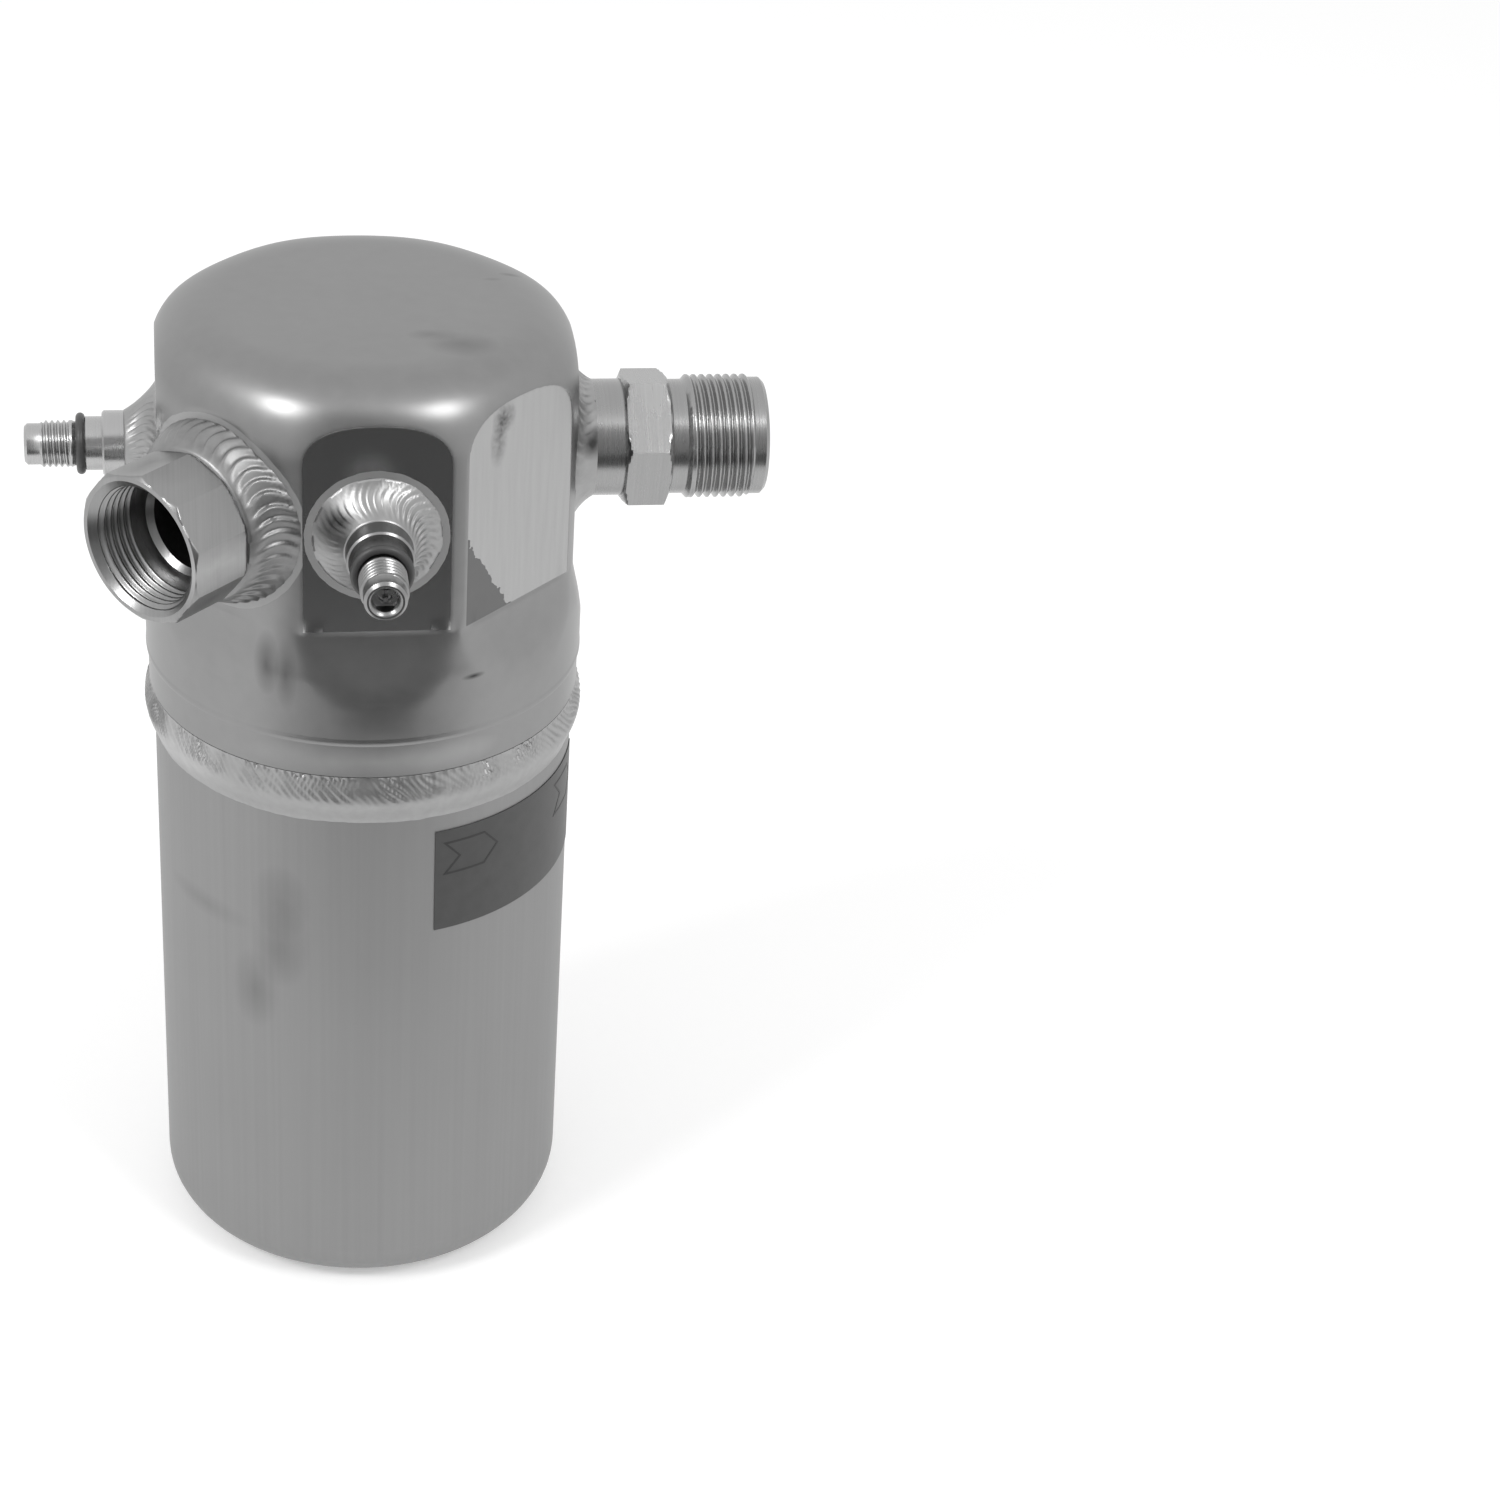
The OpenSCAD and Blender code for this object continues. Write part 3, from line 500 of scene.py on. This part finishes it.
service = {
    "stem": 7, "stemTo": 55.8, "collar": 5.75, "collarTo": 59.3, "groove": 4.65, "grooveTo": 61.4,
    "thread": 5, "threadFrom": 62, "threadTo": 68.6, "threadDepth": 0.6, "pitch": 1.25, "tip": 4.4,
    "chamfer": 0.6, "mouth": 2.65, "seatTop": 63.5, "seatFoot": 62.3, "way": 2.15, "passage": 3,
    "passageTo": 50.8, "columns": 80, "steps": 10,
}


def makeServicePort(port):
    s = service
    threadFrom, threadTo = s["threadFrom"] + 0.1, s["threadTo"]
    thread = threadRule(s["thread"], s["threadDepth"], s["pitch"], threadFrom, threadTo + 1, 0, s["steps"])
    stations = [(fittingInside, s["passage"]), (fittingInside, s["stem"]), (s["stemTo"] - 0.4, s["stem"]),
                (s["stemTo"], s["stem"] - 0.4), (s["stemTo"], s["collar"]),
                (s["collarTo"] - 0.08, s["collar"]), (s["collarTo"], s["collar"] - 0.08),
                (s["collarTo"], s["groove"]), (s["grooveTo"], s["groove"]),
                (s["threadFrom"], s["thread"] - 0.1)]
    stations += threadStations(threadFrom, threadTo, s["pitch"], s["steps"], thread)
    stations += [(s["threadTo"] + 0.1, s["tip"] + 0.1), (s["threadTo"] + 0.3, s["tip"]),
                 (serviceReach - s["chamfer"], s["tip"]), (serviceReach, s["tip"] - s["chamfer"]),
                 (serviceReach, s["mouth"] + 0.75), (serviceReach - 0.2, s["mouth"] + 0.4),
                 (serviceReach - 0.8, s["mouth"]), (s["seatTop"], s["mouth"]),
                 (s["seatFoot"], s["way"]), (s["passageTo"], s["way"]), (s["passageTo"], s["passage"])]
    piece = turnedPiece(f"{port}ServicePort", portAngles[port], stations, s["columns"])
    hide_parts(f"{port}_port")
    return piece


# Valve springs: the foot stands in the core and the top follows the pin.

spring = {"wire": 0.3, "turns": 7, "steps": 24, "sides": 10}


def makeSpring(port):
    angle = portAngles[port]
    low, high = [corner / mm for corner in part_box(f"{port}_valve_spring")]
    away = Vector((math.cos(math.radians(angle)), math.sin(math.radians(angle)), 0))
    foot, top = sorted((low.dot(away), high.dot(away)))
    half = spring["wire"] / 2
    middle = (high.z - low.z) / 2 - half
    count = spring["turns"] * spring["steps"]
    around = [2 * math.pi * j / spring["sides"] for j in range(spring["sides"])]

    def ring(i, thickness):
        turn = 2 * math.pi * i / spring["steps"]
        along = mix(foot + half, top - half, i / count)
        return [portPoint(angle, along + thickness * math.sin(b), middle + thickness * math.cos(b), turn)
                for b in around]

    rows = [ring(0, 0)[:1]] + [ring(i, half) for i in range(count + 1)] + [ring(count, 0)[:1]]
    piece = skinPiece(f"{port}Spring", rows, body=None, sharpAngle=60)
    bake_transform(piece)
    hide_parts(f"{port}_valve_spring")
    return piece


# Label print: a notched arrow in thin outline at each end, with the middle left bare.

labelPrint = {
    "from": -74, "length": 53, "film": 0.22,    # the film's left edge in degrees, its length and outer height
    "line": 0.45, "lift": 0.05, "inset": 1.8, "foot": 14.2,
    "arrow": [(0, 8.4), (10.4, 8.4), (14.2, 4.2), (10.4, 0), (0, 0), (3.8, 4.2)],
}


def labelPoint(across, height, lift):
    radius = canRadius + lift
    turn = math.radians(labelPrint["from"]) + across / canRadius
    return Vector((radius * math.cos(turn), radius * math.sin(turn), labelFoot + height))


def makeLabelPrint(name, outline):
    rows = []
    sunk, raised = labelPrint["film"] - labelPrint["lift"], labelPrint["film"] + labelPrint["lift"]
    corners = [Vector(p) for p in outline]
    inside = []
    for i, corner in enumerate(corners):
        before = (corner - corners[i - 1]).normalized()
        after = (corners[(i + 1) % len(corners)] - corner).normalized()
        inward = Vector((before.y, -before.x)) + Vector((after.y, -after.x))
        inward.normalize()
        width = labelPrint["line"] / max(0.35, inward.dot(Vector((after.y, -after.x))))
        inside.append(corner + inward * width)
    for i in range(len(corners)):
        k = (i + 1) % len(corners)
        pieces = max(1, int((corners[k] - corners[i]).length))
        for s in span(0, 1, pieces)[:-1]:
            a, b = mix(corners[i], corners[k], s), mix(inside[i], inside[k], s)
            rows.append([labelPoint(a.x, a.y, sunk), labelPoint(a.x, a.y, raised),
                         labelPoint(b.x, b.y, raised), labelPoint(b.x, b.y, sunk)])
    return skinPiece(name, rows, wrap=True, sharpAngle=30)


# Materials

def startMaterial(name, metallic, roughness):
    material = bpy.data.materials.new(name)
    material.use_nodes = True
    tree = material.node_tree
    shader = tree.nodes["Principled BSDF"]
    shader.inputs["Metallic"].default_value = metallic
    shader.inputs["Roughness"].default_value = roughness
    return material, tree, shader


def addNode(tree, kind, settings=None, inputs=None):
    node = tree.nodes.new(kind)
    for key, value in (settings or {}).items():
        setattr(node, key, value)
    for key, value in (inputs or {}).items():
        if hasattr(value, "is_output"):
            tree.links.new(value, node.inputs[key])
        else:
            node.inputs[key].default_value = value
    return node


def calc(tree, operation, a, b=0.5, c=0.5):
    return addNode(tree, "ShaderNodeMath", {"operation": operation}, {0: a, 1: b, 2: c}).outputs[0]


def noiseOf(tree, scaling, detail=3, rotation=(0, 0, 0)):
    coordinates = addNode(tree, "ShaderNodeTexCoord")
    mapping = addNode(tree, "ShaderNodeMapping", None,
                      {"Vector": coordinates.outputs["Object"], "Scale": scaling, "Rotation": rotation})
    texture = addNode(tree, "ShaderNodeTexNoise", None,
                      {"Vector": mapping.outputs[0], "Scale": 1, "Detail": detail})
    return texture.outputs[0]


# Soft ellipsoid mask round a place on the object, in millimetres
def spot(tree, place, radii):
    coordinates = addNode(tree, "ShaderNodeTexCoord")
    mapping = addNode(tree, "ShaderNodeMapping", {"vector_type": "TEXTURE"},
                      {"Vector": coordinates.outputs["Object"], "Location": [v * mm for v in place],
                       "Scale": [v * mm for v in radii]})
    gradient = addNode(tree, "ShaderNodeTexGradient", {"gradient_type": "SPHERICAL"},
                       {"Vector": mapping.outputs[0]})
    return gradient.outputs["Fac"]


def greyFrom(tree, value):
    return addNode(tree, "ShaderNodeCombineColor", None, {0: value, 1: value, 2: value}).outputs[0]


def mixBy(tree, mask, a, b):
    return addNode(tree, "ShaderNodeMix", None, {0: mask, 2: a, 3: b}).outputs[0]


# A value varied by a texture that lies round one half
def vary(tree, value, texture, amount):
    return calc(tree, "MULTIPLY_ADD", calc(tree, "SUBTRACT", texture, 0.5), amount, value)


def addBump(tree, shader, height, strength):
    bump = addNode(tree, "ShaderNodeBump", None, {"Height": height, "Strength": strength, "Distance": 0.0001})
    tree.links.new(bump.outputs[0], shader.inputs["Normal"])


# Bare metal: its tone and roughness follow a grain, a cloud and some spots, which are stains or painted light
# and shade, and extraTone may change both.
def metalFinish(name, finish, extraTone=None):
    material, tree, shader = startMaterial(name, 1, finish["roughness"])
    turn = (0, 0, math.radians(-finish.get("angle", 0)))
    grain = noiseOf(tree, finish["grain"], 2, turn)
    cloud = noiseOf(tree, [finish["cloud"]] * 3, 4)
    fine = noiseOf(tree, [1400] * 3, 2)
    tone = vary(tree, finish["tone"], grain, finish["grainTone"])
    tone = vary(tree, tone, cloud, finish["cloudTone"])
    for place, radii, change in finish.get("spots", []):
        broken = calc(tree, "MULTIPLY", spot(tree, place, radii), calc(tree, "MULTIPLY_ADD", cloud, 3, -0.5))
        tone = calc(tree, "MAXIMUM", calc(tree, "MULTIPLY_ADD", broken, change, tone), 0.06)
    rough = vary(tree, finish["roughness"], cloud, finish["roughSpread"])
    rough = vary(tree, rough, grain, finish["roughSpread"] / 2)
    if extraTone:
        tone, rough = extraTone(tree, tone, rough)
    tree.links.new(greyFrom(tree, tone), shader.inputs["Base Color"])
    tree.links.new(rough, shader.inputs["Roughness"])
    addBump(tree, shader, calc(tree, "MULTIPLY_ADD", fine, 0.4, grain), finish["bump"])
    return material


# Milled flats: where the skin lies in a flat's plane above its ledge, the finish is brighter and finer.
milled = {
    # painted light: tone is for the flat facing the front and side for the other flats, one milled finish in
    # a lighter and a darker copy by where the flat faces
    "tone": 0.45, "side": 0.37, "roughness": 0.2, "streak": 0.05,
    "near": 0.03,           # how far from its plane the skin still counts as milled
    # Pale ring round each bead: its inner and outer radius
    "toes": {"front": (13.4, 15.0), "side": (13.4, 15.0), "inlet": (20.2, 21.6)},
    "toeTone": 0.40, "toeRough": 0.6,
    # Corner that the cutter missed: its slanted edge passes this point across and up, with this slope
    "missed": {"across": -15.3, "height": 193.7, "slope": 0.675, "tone": 0.55},
    "scuffs": [((26.4, -35.7, 221), (4, 4, 4), -0.5), ((25, -36.5, 216), (3, 3, 6), -0.35)],
}


# Distance out along a direction at an angle around the axis
def reachAt(tree, parts, angle):
    sideways = calc(tree, "MULTIPLY", parts[1], math.sin(angle))
    return calc(tree, "MULTIPLY_ADD", parts[0], math.cos(angle), sideways)


def toeRing(tree, parts, ragged, port, finish):
    inner, outer = milled["toes"][port]
    angle = math.radians(portAngles[port])
    across = reachAt(tree, parts, angle + math.pi / 2)
    up = calc(tree, "SUBTRACT", parts[2], portHeight * mm)
    away = calc(tree, "SQRT", calc(tree, "MULTIPLY_ADD", across, across, calc(tree, "MULTIPLY", up, up)))
    away = calc(tree, "ADD", away, calc(tree, "MULTIPLY", ragged, 0.12))
    edge = calc(tree, "COMPARE", away, (inner + outer) / 2 * mm, (outer - inner) / 2 * mm)
    ring = calc(tree, "MULTIPLY", edge, calc(tree, "GREATER_THAN", reachAt(tree, parts, angle), 40 * mm))
    tone, rough = finish
    return mixBy(tree, ring, tone, milled["toeTone"]), mixBy(tree, ring, rough, milled["toeRough"])


# 1 where the skin lies in the plane of one of the flats. A bead and its ring cover the inlet's flat.
def flatMask(tree, parts):
    best = None
    for i, (flat, lean) in enumerate(head["flats"]):
        if (i + 1) * 45 == portAngles["inlet"]:
            continue
        facing = (i + 1) * eighth + math.radians(lean)
        beyond = calc(tree, "SUBTRACT", reachAt(tree, parts, facing), flat * mm)
        best = beyond if best is None else calc(tree, "MAXIMUM", best, beyond)
    near = calc(tree, "COMPARE", best, 0, milled["near"] * mm)
    return calc(tree, "MULTIPLY", near, calc(tree, "GREATER_THAN", parts[2], (flatsFrom - 0.02) * mm))


# 1 in the lower left corner of the flat at -45 degrees
def missedMask(tree, parts, ragged):
    edge = milled["missed"]
    slant = calc(tree, "MULTIPLY_ADD", parts[2], edge["slope"],
                 calc(tree, "ADD", reachAt(tree, parts, eighth), ragged))
    missed = calc(tree, "LESS_THAN", slant, (edge["across"] + edge["height"] * edge["slope"]) * mm)
    return calc(tree, "MULTIPLY", missed, calc(tree, "GREATER_THAN", reachAt(tree, parts, -eighth), 43 * mm))


def milledFlats(tree, tone, rough):
    coordinates = addNode(tree, "ShaderNodeTexCoord").outputs["Object"]
    parts = addNode(tree, "ShaderNodeSeparateXYZ", None, {0: coordinates}).outputs
    ragged = calc(tree, "MULTIPLY", calc(tree, "SUBTRACT", noiseOf(tree, (500, 500, 500), 3), 0.5), 4 * mm)
    # painted light: the flat facing the front takes a lighter copy of the milled tone than the other flats
    front = calc(tree, "GREATER_THAN", reachAt(tree, parts, 6 * eighth), 43.7 * mm)
    bright = vary(tree, mixBy(tree, front, milled["side"], milled["tone"]), noiseOf(tree, (900, 900, 60), 2),
                  milled["streak"])
    for place, radii, change in milled["scuffs"]:
        scuff = calc(tree, "MULTIPLY", spot(tree, place, radii), noiseOf(tree, (900, 900, 900), 3))
        bright = calc(tree, "MULTIPLY_ADD", scuff, change, bright)
    tone, rough = toeRing(tree, parts, ragged, "inlet", (tone, rough))
    missed = missedMask(tree, parts, ragged)
    bright = mixBy(tree, missed, bright, calc(tree, "MULTIPLY", tone, milled["missed"]["tone"]))
    fine = mixBy(tree, missed, milled["roughness"], rough)
    mask = flatMask(tree, parts)
    finish = mixBy(tree, mask, tone, bright), mixBy(tree, mask, rough, fine)
    for port in ("side", "front"):
        finish = toeRing(tree, parts, ragged, port, finish)
    return finish


def plainFinish(name, tone, roughness, cell, toneSpread, bump):
    material, tree, shader = startMaterial(name, 0, roughness)
    cloud = noiseOf(tree, [cell] * 3, 4)
    tree.links.new(greyFrom(tree, vary(tree, tone, cloud, toneSpread)), shader.inputs["Base Color"])
    addBump(tree, shader, cloud, bump)
    return material


canFinish = {"tone": 0.30, "grain": (700, 700, 9), "grainTone": 0.05, "cloud": 28, "cloudTone": 0.05,
             "roughness": 0.56, "roughSpread": 0.12, "bump": 0.10,
             "spots": [((-20.5, -41.6, 107), (7, 9, 10), -0.10), ((-20.5, -41.6, 96), (7, 9, 12), -0.08),
                       ((-26.3, -38.2, 82), (6, 8, 11), -0.06), ((-36, -28, 99), (14, 16, 3.5), -0.035)]}
headFinish = {"tone": 0.265, "grain": (260, 260, 260), "grainTone": 0.03, "cloud": 35, "cloudTone": 0.04,
              "roughness": 0.36, "roughSpread": 0.10, "bump": 0.05,
              "spots": [((18.8, -21.7, 231), (8, 6, 3), -0.10), ((13, -17, 231), (6, 3, 3), -0.07),
                        ((32, 14, 231), (3, 1.2, 2), -0.09), ((27.7, 11, 231), (2.5, 1, 2), -0.06),
                        # painted shade: two dark patches on the skirt below the inlet's flat, where the inlet
                        # fitting's shadow falls
                        ((-23, -42, 168), (3, 4, 8), -0.13), ((-19, -44, 166), (2.5, 4, 9), -0.09),
                        ((20.5, -43.3, 164.4), (3, 3, 0.8), -0.2),
                        # painted light: a broad lighter patch on the band at the front, brightening where it
                        # reflects the dark card
                        ((0, -48, 146), (36, 14, 4.5), 0.12)]}
weldFinish = {"tone": 0.34, "grain": (500, 500, 500), "grainTone": 0.08, "cloud": 90, "cloudTone": 0.08,
              "roughness": 0.38, "roughSpread": 0.12, "bump": 0.12,
              "spots": [((-9.5, -47, 203), (5.5, 6, 6), -0.2), ((-6, -49, 205), (5, 5, 3), -0.2),
                        ((48.5, -13.2, 203.5), (4, 5, 4), -0.4), ((50, -13, 206), (2.5, 4, 3), -0.3)]}
weldTones = {"inlet": {"tone": 0.26, "roughness": 0.42}}
turnedFinish = {"tone": 0.37, "grain": (2600, 30, 30), "grainTone": 0.06, "cloud": 80, "cloudTone": 0.04,
                "roughness": 0.27, "roughSpread": 0.08, "bump": 0.08}
turnedTones = {"inlet": {"tone": 0.30, "roughness": 0.32,
                         # painted light: the face turned to the front right is lightened; the fitting is also
                         # darker below and at its upper left
                         "spots": [((-31.3, -53.6, 198.4), (14, 14, 5.4), 0.16),
                                   ((-33.5, -51.3, 189.2), (12, 12, 6), -0.15),
                                   ((-45.5, -39.3, 214), (11, 11, 4), -0.12)]},
               # painted shade and light: the front and side service ports are the same fitting, the front one
               # in a darker copy of its tone and the side one in a lighter copy
               "front": {"tone": 0.27, "roughness": 0.3}, "outlet": {"tone": 0.33}, "side": {"tone": 0.44}}
beadFinish = {**weldFinish, "tone": 0.36, "roughness": 0.42, "spots": [((-40, -24, 137), (14, 18, 8), 0.1)]}
innerFinish = {"tone": 0.4, "grain": (400, 400, 400), "grainTone": 0.06, "cloud": 80, "cloudTone": 0.06,
               "roughness": 0.35, "roughSpread": 0.08, "bump": 0.08}


def dress(target, material):
    target.data.materials.clear()
    target.data.materials.append(material)


# Build

headPiece = makeHead()
drillHead(headPiece)
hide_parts("upper_shell")
dress(headPiece, metalFinish("headAluminium", headFinish, milledFlats))
print("head built")

for port in portWelds:
    bead = makePortWeld(port)
    dress(bead, metalFinish(f"{port}WeldAluminium", {**weldFinish, **weldTones.get(port, {})}))
girthBead = makeGirthWeld()
dress(girthBead, metalFinish("beadAluminium", beadFinish))
print("welds built")

fittings = {"outlet": makeOutlet(), "inlet": makeInlet(), "front": makeServicePort("front"),
            "side": makeServicePort("side")}
for port, piece in fittings.items():
    finish = {**turnedFinish, **turnedTones.get(port, {}), "angle": portAngles[port]}
    dress(piece, metalFinish(f"{port}Turned", finish))
print("fittings built")

printMaterial = plainFinish("labelInk", 0.02, 0.5, 900, 0.01, 0.1)
arrow = [Vector((x + labelPrint["inset"], y + labelPrint["foot"])) for x, y in labelPrint["arrow"]]
farShift = labelPrint["length"] - 2 * labelPrint["inset"] - labelPrint["arrow"][2][0]
farArrow = [p + Vector((farShift, 0)) for p in arrow]
for name, outline in (("nearArrow", arrow), ("farArrow", farArrow)):
    mark = makeLabelPrint(name, outline)
    dress(mark, printMaterial)

nodes = frame["nodes"]
dress(nodes["lower_shell"], metalFinish("canAluminium", canFinish))
dress(nodes["label"], plainFinish("labelFilm", 0.048, 0.45, 300, 0.02, 0.1))
rubber = plainFinish("ringRubber", 0.05, 0.42, 500, 0.02, 0.15)
coreMetal = metalFinish("coreMetal", {**turnedFinish, "tone": 0.4, "grain": (900, 900, 900)})
innerMetal = metalFinish("innerAluminium", innerFinish)
springMetal = metalFinish("springWire", {**innerFinish, "tone": 0.4, "roughness": 0.25})
sealPlastic = plainFinish("sealPlastic", 0.75, 0.5, 600, 0.04, 0.1)
screenPlastic = plainFinish("screenPlastic", 0.68, 0.5, 700, 0.06, 0.3)
felt = plainFinish("bagFelt", 0.7, 0.9, 900, 0.12, 0.8)
tiePlastic = plainFinish("tiePlastic", 0.06, 0.45, 500, 0.02, 0.1)
for side in ("front", "side"):
    dress(nodes[f"{side}_port_ring"], rubber)
    dress(nodes[f"{side}_valve_core"], coreMetal)
    dress(nodes[f"{side}_valve_pin"], coreMetal)
    dress(nodes[f"{side}_core_gasket"], sealPlastic)
    dress(nodes[f"{side}_valve_seal"], rubber)
    coil = makeSpring(side)
    dress(coil, springMetal)
for name in ("suction_tube", "vapour_deflector"):
    dress(nodes[name], innerMetal)
dress(nodes["oil_screen"], screenPlastic)
dress(nodes["desiccant_bag"], felt)
dress(nodes["bag_tie"], tiePlastic)
print("frame dressed")


# Studio

studio = {
    "eye": (-39.4, -665.2, 531.1), "azimuth": -10.97, "elevation": 31.43, "roll": 4.19, "focal": 3408.6,
    "picture": 1500, "sensor": 36,
    "floorSize": 8.0, "floorHeight": -0.0002, "floorTone": 0.8, "floorGlow": 0.3,
    "skyRim": 0.55, "skyTop": 0.75, "skyTopFrom": 0.7,
    "lampsAim": (0, 0, 0.15),
    "lamps": [{"name": "leftLamp", "place": (-0.9, -0.56, 1.15), "size": 0.42, "power": 7.6},
              {"name": "rightLamp", "place": (0.68, -0.78, 1.2), "size": 0.42, "power": 5.8}],
    "card": {"width": 0.36, "farWidth": 0.54, "near": -0.27, "far": -1.2, "foot": 0.001, "top": 1.6,
             "floorTone": 0.05, "wallTone": 0.38},
}


def makeCamera():
    a, e, roll = [math.radians(studio[key]) for key in ("azimuth", "elevation", "roll")]
    back = Vector((math.sin(a) * math.cos(e), -math.cos(a) * math.cos(e), math.sin(e)))
    right = Vector((math.cos(a), math.sin(a), 0))
    up = back.cross(right)
    tilted = right * math.cos(roll) + up * math.sin(roll)
    upright = up * math.cos(roll) - right * math.sin(roll)
    camera = bpy.data.objects.new("camera", bpy.data.cameras.new("camera"))
    camera.data.sensor_width = studio["sensor"]
    camera.data.lens = studio["focal"] / studio["picture"] * studio["sensor"]
    camera.data.clip_start, camera.data.clip_end = 0.01, 50
    rotation = Matrix((tilted, upright, back)).transposed().to_4x4()
    camera.matrix_world = Matrix.Translation(Vector(studio["eye"]) * mm) @ rotation
    bpy.context.scene.collection.objects.link(camera)
    bpy.context.scene.camera = camera


def makeLamps():
    for lamp in studio["lamps"]:
        light = bpy.data.lights.new(lamp["name"], "AREA")
        light.size, light.energy = lamp["size"], lamp["power"]
        holder = bpy.data.objects.new(lamp["name"], light)
        place = Vector(lamp["place"])
        aim = (place - Vector(studio["lampsAim"])).to_track_quat("Z", "Y").to_matrix().to_4x4()
        holder.matrix_world = Matrix.Translation(place) @ aim
        bpy.context.scene.collection.objects.link(holder)


# Rays that see the white background: straight from the camera, or by way of metal and glass
def seenRays(tree):
    path = addNode(tree, "ShaderNodeLightPath").outputs
    rays = calc(tree, "MAXIMUM", path["Is Camera Ray"], path["Is Glossy Ray"])
    return calc(tree, "MAXIMUM", rays, path["Is Transmission Ray"])


def makeWorld():
    world = bpy.data.worlds.new("studioAir")
    bpy.context.scene.world = world
    world.use_nodes = True
    tree = world.node_tree
    background = tree.nodes["Background"]
    coordinates = addNode(tree, "ShaderNodeTexCoord")
    height = addNode(tree, "ShaderNodeSeparateXYZ", None, {0: coordinates.outputs["Generated"]}).outputs[2]
    level = addNode(tree, "ShaderNodeMapRange", None,
                    {0: height, 2: studio["skyTopFrom"], 3: studio["skyRim"], 4: studio["skyTop"]}).outputs[0]
    tree.links.new(calc(tree, "MAXIMUM", level, seenRays(tree)), background.inputs["Strength"])
    background.inputs["Color"].default_value = (1, 1, 1, 1)


def makeFloor():
    size = studio["floorSize"] / 2
    mesh = bpy.data.meshes.new("floor")
    corners = [(x * size, y * size, studio["floorHeight"]) for x, y in ((-1, -1), (1, -1), (1, 1), (-1, 1))]
    mesh.from_pydata(corners, [], [(0, 1, 2, 3)])
    floor = bpy.data.objects.new("floor", mesh)
    bpy.context.scene.collection.objects.link(floor)
    material, tree, shader = startMaterial("paleFloor", 0, 0.8)
    shader.inputs["Base Color"].default_value = (studio["floorTone"],) * 3 + (1,)
    shader.inputs["Specular IOR Level"].default_value = 0
    glow = addNode(tree, "ShaderNodeEmission", None,
                   {"Strength": calc(tree, "MULTIPLY", seenRays(tree), studio["floorGlow"])})
    both = addNode(tree, "ShaderNodeAddShader", None, {0: shader.outputs[0], 1: glow.outputs[0]})
    tree.links.new(both.outputs[0], tree.nodes["Material Output"].inputs["Surface"])
    mesh.materials.append(material)


# Dark card in front of the object, as a camera and its darkness give: only reflections see it.
def makeCard():
    card = studio["card"]
    path = [(card["width"], card["near"], card["foot"]), (card["farWidth"], card["far"], card["foot"]),
            (card["farWidth"], card["far"], card["top"])]
    vertices = [(side * x, y, z) for x, y, z in path for side in (-1, 1)]
    mesh = bpy.data.meshes.new("darkCard")
    mesh.from_pydata(vertices, [], [(0, 2, 3, 1), (2, 4, 5, 3)])
    piece = bpy.data.objects.new("darkCard", mesh)
    bpy.context.scene.collection.objects.link(piece)
    for name in ("floorTone", "wallTone"):
        material, tree, shader = startMaterial(name + "Cloth", 0, 0.9)
        shader.inputs["Base Color"].default_value = (card[name],) * 3 + (1,)
        mesh.materials.append(material)
    mesh.polygons.foreach_set("material_index", [0, 1])
    piece.visible_camera = piece.visible_diffuse = piece.visible_shadow = False


makeCamera()
makeLamps()
makeWorld()
makeFloor()
makeCard()
bpy.context.scene.view_settings.view_transform = "Standard"
print("studio ready")
